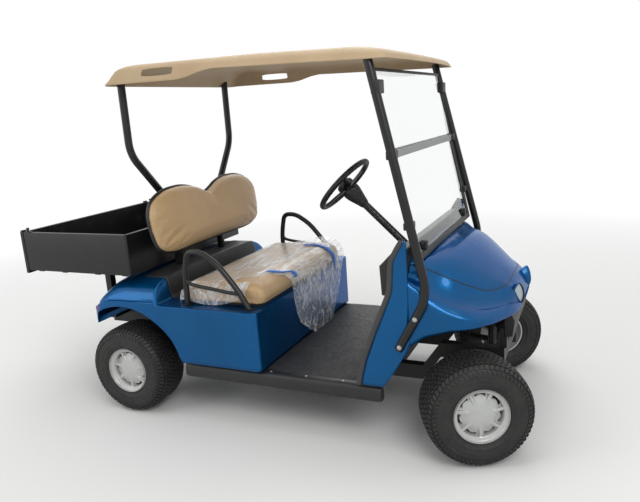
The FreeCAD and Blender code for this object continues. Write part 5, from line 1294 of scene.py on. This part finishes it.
def buildStruts():
    c = strut
    a = np.linspace(0, 2 * np.pi, 24, endpoint=False)
    oval = np.stack([np.cos(a), np.sin(a)], -1) * c["oval"]
    for sign, side in sides:
        rear = np.array(c["rear"]) * (1, sign, 1) + (rearX, 0, 0)
        front = np.array(c["front"]) * (1, sign, 1) + (frontX, 0, 0)
        shape = roundTube(roundCorners(rear, 0.06, 14), c["radius"], 20, (1, 0, 0))
        finished(f"rear_strut_{side}", shape, blackTube, sharp=50, node="rear_struts")
        shape = closedTube(carried(roundCorners(front, 0.075, 14), oval, (0, 1, 0)))
        finished(f"front_strut_{side}", shape, blackTube, sharp=50, node="front_struts")
        spots = [front[2] * place + front[1] * (1 - place) + (0, sign * c["boltOut"], 0) for place in c["bolts"]]
        parts = [spun(np.array(shape) * (1, sign), 20, spot) for spot in spots for shape in boltShapes]
        finished(f"strut_bolts_{side}", joined(parts), bareSteel, sharp=40)


buildStruts()
plateEdge = (0.0016, 2, 40)
for part, material, sharp, edge in (
        ("seat_frame", blackTube, 30, plateEdge), ("front_axle", frameSteel, 40, None),
        ("rear_axle", frameSteel, 40, None), ("drive_motor", blockMetal, 40, None),
        ("front_springs", frameSteel, 30, plateEdge), ("rear_springs", frameSteel, 30, plateEdge),
        ("shocks", blackTube, 40, None), ("knuckle_left", frameSteel, 35, None),
        ("knuckle_right", frameSteel, 35, None), ("tie_rod", bareSteel, 40, None),
        ("steering_column", blackTube, 40, None)):
    smoothCopy(part, material, sharp, edge)
print("struts and running gear built")


# Windscreen trims and clips, steering wheel with its shroud, dash, pedals.
def leaned(low, high, slope, base):  # a block sheared in X by height over the base
    points, faces = blockBetween(low, high)
    points[:, 0] += (points[:, 2] - base) * slope
    return points, faces


screen = {"topX": -0.333, "topZ": 1.590, "midX": -0.271, "midZ": 1.262, "lowX": -0.183, "lowZ": 0.846,
          "half": 0.506,
          # height of the middle, height and length inward of the clips on each side
          "clips": [(1.520, 0.052, 0.040), (1.262, 0.036, 0.030), (0.985, 0.030, 0.034)]}


def buildScreenTrim():
    c = screen
    up = (c["topX"] - c["midX"]) / (c["topZ"] - c["midZ"])
    down = (c["midX"] - c["lowX"]) / (c["midZ"] - c["lowZ"])
    lowX, midX, half = frontX + c["lowX"], frontX + c["midX"], c["half"]
    trims, clips = [], []
    for sign in (1, -1):
        y = sorted((sign * 0.470, sign * 0.5115))
        trims.append(leaned((lowX - 0.004, y[0], 0.850), (lowX + 0.009, y[1], 1.243), down, c["lowZ"]))
        y = sorted((sign * 0.499, sign * 0.5095))
        trims.append(leaned((midX - 0.003, y[0], 1.281), (midX + 0.008, y[1], 1.588), up, c["midZ"]))
        for z, tall, wide in c["clips"]:
            x = midX + (z - c["midZ"]) * (up if z > c["midZ"] else down)
            y = sorted((sign * (0.520 - wide), sign * 0.548))
            clips.append(blockBetween((x - 0.012, y[0], z - tall / 2), (x + 0.022, y[1], z + tall / 2)))
        y = sorted((sign * 0.375, sign * 0.405))
        x = lowX + 0.015 * down
        clips.append(blockBetween((x - 0.010, y[0], 0.862), (x + 0.016, y[1], 0.900)))
    trims.append(leaned((lowX - 0.006, -half, 0.836), (lowX + 0.010, half, 0.862), down, c["lowZ"]))
    trims.append(leaned((midX - 0.003, -half, 1.579), (midX + 0.008, half, 1.592), up, c["midZ"]))
    for name, parts, width in (("screen_trim", trims, 0.002), ("screen_clips", clips, 0.005)):
        finished(name, joined(parts), blackPlastic, edge=(width, 3))
    # two dark round lines that edge the grey strip
    lines = [[(midX - 0.007, y, z) for y in np.linspace(-0.505, 0.505, 8)] for z in (1.2785, 1.2455)]
    finished("screen_beads", joined([roundTube(line, 0.0032, 10, (0, 0, 1)) for line in lines]), blackPlastic)


buildScreenTrim()

helm = {"hub": (-0.785, 0.250, 1.050), "tilt": 44.0, "ring": 0.166, "grip": 0.0148, "fingers": 44, "wave": 0.0011,
        "spokes": (90, 210, 330), "spokeStart": 0.028, "spokeTall": 0.0062}
helmCap = [(tiny, 0.016), (0.018, 0.0155), (0.034, 0.013), (0.044, 0.007), (0.0475, 0.000), (0.048, -0.012),
           (0.044, -0.020), (0.030, -0.026), (0.021, -0.028), (0.0205, -0.0335), (tiny, -0.0337)]
helmTrim = [(tiny, 0.0176), (0.010, 0.0172), (0.0165, 0.0158), (0.0170, 0.0140)]
# shroud under the hub and a collar where the column meets the dash
helmShroud = [(0.0205, -0.0385), (0.040, -0.0390), (0.047, -0.0430), (0.049, -0.052), (0.047, -0.070),
              (0.040, -0.098), (0.031, -0.128), (0.0255, -0.150), (0.0215, -0.158), (0.0205, -0.158)]
helmCollar = [(0.0205, -0.598), (0.030, -0.600), (0.036, -0.606), (0.036, -0.622), (0.0205, -0.624)]


def onHelm(points):  # (side, top, towards the driver) to the frame
    a = math.radians(helm["tilt"])
    side, towards = np.array([0, 1, 0]), np.array([-math.cos(a), 0, math.sin(a)])
    return np.add(helm["hub"], (frontX, 0, 0)) + points @ np.array([side, np.cross(towards, side), towards])


def buildHelm():
    c = helm
    a = np.linspace(0, 2 * np.pi, 176, endpoint=False)[:, None]
    b = np.linspace(0, 2 * np.pi, 20, endpoint=False)
    # the grip's inner side carries shallow finger waves
    grip = c["grip"] + c["wave"] * np.cos(a * c["fingers"]) * np.clip(-np.cos(b), 0, 1)
    out = c["ring"] + grip * np.cos(b)
    ring = onHelm(np.stack([out * np.cos(a), out * np.sin(a), grip * np.sin(b)], -1))
    finished("helm_ring", gridShape(ring, True, True), gripRubber, "steering_wheel",
             node="steering_wheel")
    t = np.linspace(0, 1, 26)[:, None]
    b = np.linspace(0, 2 * np.pi, 16, endpoint=False)
    reach = c["spokeStart"] + (c["ring"] - c["spokeStart"]) * t
    width = 0.026 - 0.012 * np.sin(t * np.pi * 0.5) + 0.006 * t ** 6
    across = np.sign(np.cos(b)) * np.abs(np.cos(b)) ** 0.6 * width
    z = -0.020 * (1 - t) ** 1.3 + np.sin(b) * c["spokeTall"]
    parts = []
    for turn in np.radians(c["spokes"]):
        x, y = reach * np.cos(turn) - across * np.sin(turn), reach * np.sin(turn) + across * np.cos(turn)
        parts.append(closedTube(np.stack([x, y, z], -1)))
    parts.append(spun(np.concatenate([smoothRows(helmCap[:8], 30), helmCap[8:]]), 40, (0, 0, 0), "z"))
    points, faces = joined(parts)
    finished("helm_spokes", (onHelm(points), faces), blackPlastic, "steering_wheel", sharp=50,
             node="steering_wheel")
    trim = turned(smoothRows(helmTrim, 12), 32, axis="z")
    finished("helm_cap", gridShape(onHelm(trim), closeColumns=True), greyTrim, "steering_wheel")
    shroud = np.concatenate([helmShroud[:2], smoothRows(helmShroud[2:8], 26), helmShroud[8:]])
    for name, profile, wide in (("column_shroud", shroud, 0.92), ("column_collar", helmCollar, 1)):
        rings = onHelm(turned(profile, 40, axis="z") * (wide, 1, 1))
        finished(name, gridShape(rings, True, True), blackPlastic, sharp=40)


buildHelm()
smoothCopy("dash_panel", blackPlastic, 30, (0.005, 3, 30), "dash_moulding")
parts = []
for y, wide in ((-0.05, 0.030), (0.03, 0.024)):  # a key switch and a rocker switch between the pockets
    profile = [(tiny, -0.009), (wide * 0.5, -0.009), (wide * 0.55, -0.005), (wide * 0.55, 0.003), (tiny, 0.003)]
    parts.append(spun(profile, 24, (frontX - 0.342, y, 0.770), "x"))
parts.append(blockBetween((frontX - 0.362, -0.0525, 0.758), (frontX - 0.350, -0.0475, 0.782)))
finished("dash_switches", joined(parts), greyTrim, edge=(0.0008, 2))
smoothCopy("pedals", blackPlastic, 30, (0.002, 2, 40))
print("controls built")


# Cargo box of folded sheet with a turned-in rim, its gate with latches, and the legs.
box = {"rear": -0.652, "front": 0.047, "half": 0.515, "low": 0.707, "high": 0.915, "rim": 0.020, "sheet": 0.0028,
       "floorWall": 0.0035, "floorUp": 0.0045, "rib": 0.0035, "ribPitch": 0.128, "hinge": 0.080, "hingeIn": 0.060,
       "bearers": (-0.60, -0.43, -0.20, -0.02)}
latchKnob = [(tiny, 0.0), (0.0055, 0.0), (0.0055, 0.010), (0.0085, 0.012), (0.0085, 0.018), (0.0065, 0.021),
             (tiny, 0.0215)]


def buildBox():
    c = box
    rear, front, half = rearX + c["rear"], rearX + c["front"], c["half"]
    path = roundCorners([(rear, half, 0), (front, half, 0), (front, -half, 0), (rear, -half, 0)], 0.012, 6)
    low, high, rim, t = c["low"], c["high"], c["rim"], c["sheet"]
    outline = np.array([(0, low), (0, high - 0.003), (0.001, high - 0.0008), (0.003, high), (rim - 0.002, high),
                        (rim - 0.0005, high - 0.001), (rim, high - 0.003), (rim, high - 0.012),
                        (rim - t, high - 0.012), (rim - t, high - t), (t, high - t), (t, low + 0.004),
                        (0.020, low + 0.004), (0.020, low)])
    # inward is away from the path's outer side, found from the path's own direction
    ahead = unit(np.gradient(path, axis=0))
    inward = ahead[:, [1, 0, 2]] * (1, -1, 0)
    stretch = 1 / np.clip(np.abs(np.sum(ahead * np.roll(ahead, 1, 0), 1)) ** 0.5, 0.8, 1)
    points = path[:, None] + inward[:, None] * outline[:, :1] * stretch[:, None, None]
    points[..., 2] = outline[:, 1]
    finished("box_walls", closedTube(points), boxSteel, sharp=35, node="cargo_box")
    # floor with shallow pressed ribs along it
    x = np.linspace(rear + 0.002, front - 0.004, 60)[:, None]
    y = np.linspace(-half + 0.004, half - 0.004, 241)
    rib = eased(np.clip(np.cos(y * 2 * np.pi / c["ribPitch"]) * 2.2 + 0.1, 0, 1))
    rib = rib * np.clip((half - 0.05 - np.abs(y)) / 0.01, 0, 1)
    rib = rib * np.clip((np.minimum(x - x[0], x[-1] - x) - 0.035) / 0.012, 0, 1)
    grid = np.stack(np.broadcast_arrays(x, y, low + c["floorUp"] + c["rib"] * rib), -1)
    floor = pieceFrom("box_floor", gridShape(grid), boxSteel)
    thicken(floor, c["floorWall"])
    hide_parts("cargo_box")
    parts = []
    for y in (-half + c["hingeIn"], half - c["hingeIn"] - c["hinge"]):  # hinge lugs under the rear edge
        parts.append(blockBetween((rear - 0.010, y - 0.005, low - 0.016), (rear + 0.060, y + 0.005, low)))
    for x in np.add(rearX, c["bearers"]):
        parts.append(blockBetween((x - 0.018, -half + 0.03, low - 0.0135), (x + 0.018, half - 0.03, low + 0.0005)))
    finished("box_bearers", joined(parts), boxSteel, edge=(0.0015, 2))


buildBox()
for part in ("tailgate", "cargo_supports"):
    smoothCopy(part, boxSteel, 30, (0.0022, 3, 40))


def buildLatches():
    half, gate = box["half"], rearX + box["rear"]
    fixed, moving = [], []
    for sign in (1, -1):
        y = sorted((sign * half, sign * (half - 0.022)))
        fixed.append(blockBetween((gate + 0.004, y[0], 0.9135), (gate + 0.050, y[1], 0.9185)))
        fixed.append(spun(latchKnob, 20, (gate + 0.024, sign * (half - 0.011), 0.9175), "z"))
        y = sorted((sign * (half - 0.002), sign * (half - 0.030)))
        moving.append(blockBetween((gate - 0.024, y[0], 0.9145), (gate - 0.009, y[1], 0.9245)))
    finished("latch_plates", joined(fixed), boxSteel, edge=(0.001, 2))
    finished("latch_catches", joined(moving), boxSteel, "tailgate", edge=(0.001, 2))


buildLatches()
print("cargo box built")


# Floor mat, rockers, hip loops, batteries and small fixings.
smoothCopy("floor_mat", matRubber, 25, (0.0025, 2, 30))
finished("floor_tail", blockBetween((0.098, -0.494, 0.2765), (0.1335, 0.494, 0.2828)), matRubber)

rocker = {"rear": -0.3040, "front": 0.7015, "screwY": 0.513, "screwZ": 0.2872,
          "screws": (-0.24, -0.02, 0.16, 0.34, 0.52, 0.67),
          "section": [(0.498, 0.219), (0.520, 0.219), (0.537, 0.221), (0.5415, 0.230), (0.5415, 0.250),
                      (0.5405, 0.262), (0.5385, 0.272), (0.534, 0.280), (0.529, 0.2835), (0.522, 0.2865),
                      (0.512, 0.2878), (0.498, 0.2880)]}
screwHead = [(tiny, 0.0), (0.0062, 0.0), (0.0058, 0.0016), (0.0035, 0.0026), (tiny, 0.0028)]


def buildRockers():
    c = rocker
    x = np.linspace(c["rear"], c["front"], 60)[:, None]
    end = np.clip(np.minimum(x - x[0], x[-1] - x) / 0.02, 0, 1) ** 0.5
    shape = smoothRows(c["section"], 44)
    centre = shape.mean(0)
    ring = centre + (shape - centre) * (0.93 + 0.07 * end)[..., None]
    for sign, side in sides:
        grid = np.stack(np.broadcast_arrays(x, sign * ring[..., 0], ring[..., 1]), -1)
        finished(f"rocker_{side}", closedTube(grid), rockerPlastic, sharp=50, node="rockers")
        screws = [spun(screwHead, 16, (place, sign * c["screwY"], c["screwZ"]), "z") for place in c["screws"]]
        finished(f"rocker_screws_{side}", joined(screws), bareSteel)


buildRockers()

# places as (ahead of the rear axle, above the pod)
hip = {"y": 0.502, "podZ": 0.578, "feet": (0.366, 0.712), "radius": 0.0138, "barRadius": 0.0088,
       "loop": [(0.710, -0.004), (0.655, 0.090), (0.560, 0.205), (0.470, 0.262), (0.392, 0.262), (0.368, 0.150),
                (0.366, -0.004)],
       "bends": [0, 0.06, 0.06, 0.045, 0.045, 0.05, 0],
       "bar": [(0.367, 0.150), (0.380, 0.112), (0.430, 0.097), (0.520, 0.086), (0.612, 0.074), (0.668, 0.070)]}
footFlange = [(tiny, 0.0), (0.026, 0.0), (0.026, 0.003), (0.020, 0.0045), (tiny, 0.0045)]


def buildHipLoops():
    c = hip
    for sign, side in sides:
        loop, bar = ([(rearX + ahead, sign * c["y"], c["podZ"] + up) for ahead, up in line]
                     for line in (c["loop"], c["bar"]))
        shape = roundTube(roundCorners(loop, c["bends"], 10), c["radius"], 20, (0, 1, 0))
        finished(f"hip_loop_{side}", shape, blackTube, sharp=50, node="hip_restraints")
        shape = roundTube(smoothRows(bar, 50), c["barRadius"], 16, (0, 1, 0))
        finished(f"hip_bar_{side}", shape, blackTube, sharp=50, node="hip_restraints")
        feet = [spun(footFlange, 28, (rearX + ahead, sign * c["y"], c["podZ"]), "z") for ahead in c["feet"]]
        finished(f"hip_feet_{side}", joined(feet), blackTube, sharp=40)


buildHipLoops()

battery = {"rows": 2, "columns": 3, "gap": 0.004, "top": 0.034, "lid": (0.036, 0.018), "lidOut": 0.002,
           "caps": 3, "capStart": 0.045, "capPitch": 0.046, "capZ": 0.0185}
batteryCap = [(tiny, 0.0), (0.017, 0.0), (0.017, 0.008), (0.014, 0.011), (tiny, 0.0112)]


def buildBatteries():
    c = battery
    low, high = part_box("battery_pack")
    cases, caps = [], []
    gap = c["gap"]
    across = (high.y - low.y) / c["columns"]
    along = (high.x - low.x) / c["rows"]
    for i in range(c["rows"]):
        for j in range(c["columns"]):
            x0, y0 = low.x + i * along + gap, low.y + j * across + gap
            x1, y1 = x0 + along - 2 * gap, y0 + across - 2 * gap
            cases.append(blockBetween((x0, y0, low.z), (x1, y1, high.z - c["top"])))
            out = c["lidOut"]
            lidLow, lidHigh = (high.z - v for v in c["lid"])
            cases.append(blockBetween((x0 - out, y0 - out, lidLow), (x1 + out, y1 + out, lidHigh)))
            for k in range(c["caps"]):
                place = (x0 + c["capStart"] + k * c["capPitch"], (y0 + y1) / 2, high.z - c["capZ"])
                caps.append(spun(batteryCap, 20, place, "z"))
    edge = (0.0018, 2)
    finished("battery_cases", joined(cases), batteryCase, edge=edge, node="battery_pack")
    finished("battery_caps", joined(caps), greyTrim, edge=edge)


buildBatteries()
for part, material, width in (("tail_lights", tailLens, 0.003), ("front_bumper", blackPlastic, 0.003),
                              ("seat_base", blackPlastic, 0.002), ("floor_pan", frameSteel, 0.0015),
                              ("windscreen_strip", stripGrey, 0.002)):
    smoothCopy(part, material, 30, (width, 2, 40))
print("floor, loops and batteries built")


# Floor, light and camera.
camera = {"place": (1.52726, -2.819, 1.450), "yaw": 25.02, "pitch": -12.85, "roll": -3.92, "focalPixels": 618.7}
lights = {  # name: (place, aim, size, watts)
    "key": ((3.2, -3.6, 4.2), (0.2, 0, 0.7), 2.6, 120),
    "fill": ((-3.6, -3.4, 3.2), (-0.2, 0, 0.7), 3.2, 60),
    "back": ((-1.6, 4.2, 3.8), (0, 0, 0.8), 3.0, 60),
    "over": ((0.2, 0.2, 5.2), (0, 0, 0.8), 4.0, 90),
}


def placeLight(name, place, aim, size, watts):
    data = bpy.data.lights.new(name, "AREA")
    data.size = size
    data.energy = watts
    lamp = placed(name, data)
    lamp.location = place
    lamp.rotation_euler = (Vector(aim) - Vector(place)).to_track_quat("-Z", "Y").to_euler()


def placeCamera():
    yaw, pitch, roll = (math.radians(camera[k]) for k in ("yaw", "pitch", "roll"))
    forward = Vector((-math.sin(yaw) * math.cos(pitch), math.cos(yaw) * math.cos(pitch), math.sin(pitch)))
    right = forward.cross(Vector((0, 0, 1))).normalized()
    up = right.cross(forward)
    data = bpy.data.cameras.new("view")
    data.sensor_width = 36
    data.lens = camera["focalPixels"] / 640 * 36
    data.clip_end = 200
    made = placed("view", data)
    cos, sin = math.cos(roll), math.sin(roll)
    rows = zip(right * cos + up * sin, up * cos - right * sin, -forward, camera["place"])
    made.matrix_world = Matrix([*rows, (0, 0, 0, 1)])
    bpy.context.scene.camera = made


def seenDirectly(tree):  # 1 for the rays that see a surface directly, in a mirror or through the film
    path = node(tree, "LightPath")
    seen = combined(tree, "MAXIMUM", path.outputs["Is Camera Ray"], path.outputs["Is Glossy Ray"])
    return combined(tree, "MAXIMUM", seen, path.outputs["Is Transmission Ray"])


def mixedShaders(tree, share, first, second, out):
    mix = node(tree, "MixShader")
    for socket, value in enumerate((share, first, second)):
        feed(mix, socket, value)
    feed(tree.nodes[out], "Surface", mix.outputs[0])


def placeFloor():
    material, tree, shader = baseMaterial("floorPale", (0.80, 0.80, 0.79), 0.75)
    feed(shader, "Roughness", ranged(tree, noise(tree, 3, 3.0), 0.3, 0.7, 0.7, 0.8))
    # far from the cart the floor turns into the white background
    away = node(tree, "VectorMath", operation="LENGTH")
    feed(away, 0, objectCoords(tree))
    share = combined(tree, "MULTIPLY", ranged(tree, away.outputs["Value"], 1.9, 5.5), seenDirectly(tree))
    mixedShaders(tree, share, shader.outputs[0], node(tree, "Emission").outputs[0], "Material Output")
    mesh = bpy.data.meshes.new("floor")
    mesh.from_pydata([(-30, -30, 0), (30, -30, 0), (30, 30, 0), (-30, 30, 0)], [], [(0, 1, 2, 3)])
    mesh.materials.append(material)
    placed("floor", mesh)


def lightWorld(strength=0.5):
    world = bpy.data.worlds.new("studio")
    bpy.context.scene.world = world
    world.use_nodes = True
    tree = world.node_tree
    plain = tree.nodes["Background"]
    seen = node(tree, "Background")
    for maker, power in ((plain, strength), (seen, 1.0)):
        maker.inputs["Color"].default_value = (1, 1, 1, 1)
        maker.inputs["Strength"].default_value = power
    mixedShaders(tree, seenDirectly(tree), plain.outputs[0], seen.outputs[0], "World Output")


placeFloor()
for name, values in lights.items():
    placeLight(name, *values)
placeCamera()
lightWorld()
bpy.context.scene.view_settings.view_transform = "Standard"
print("stage ready")

bpy.context.view_layer.update()
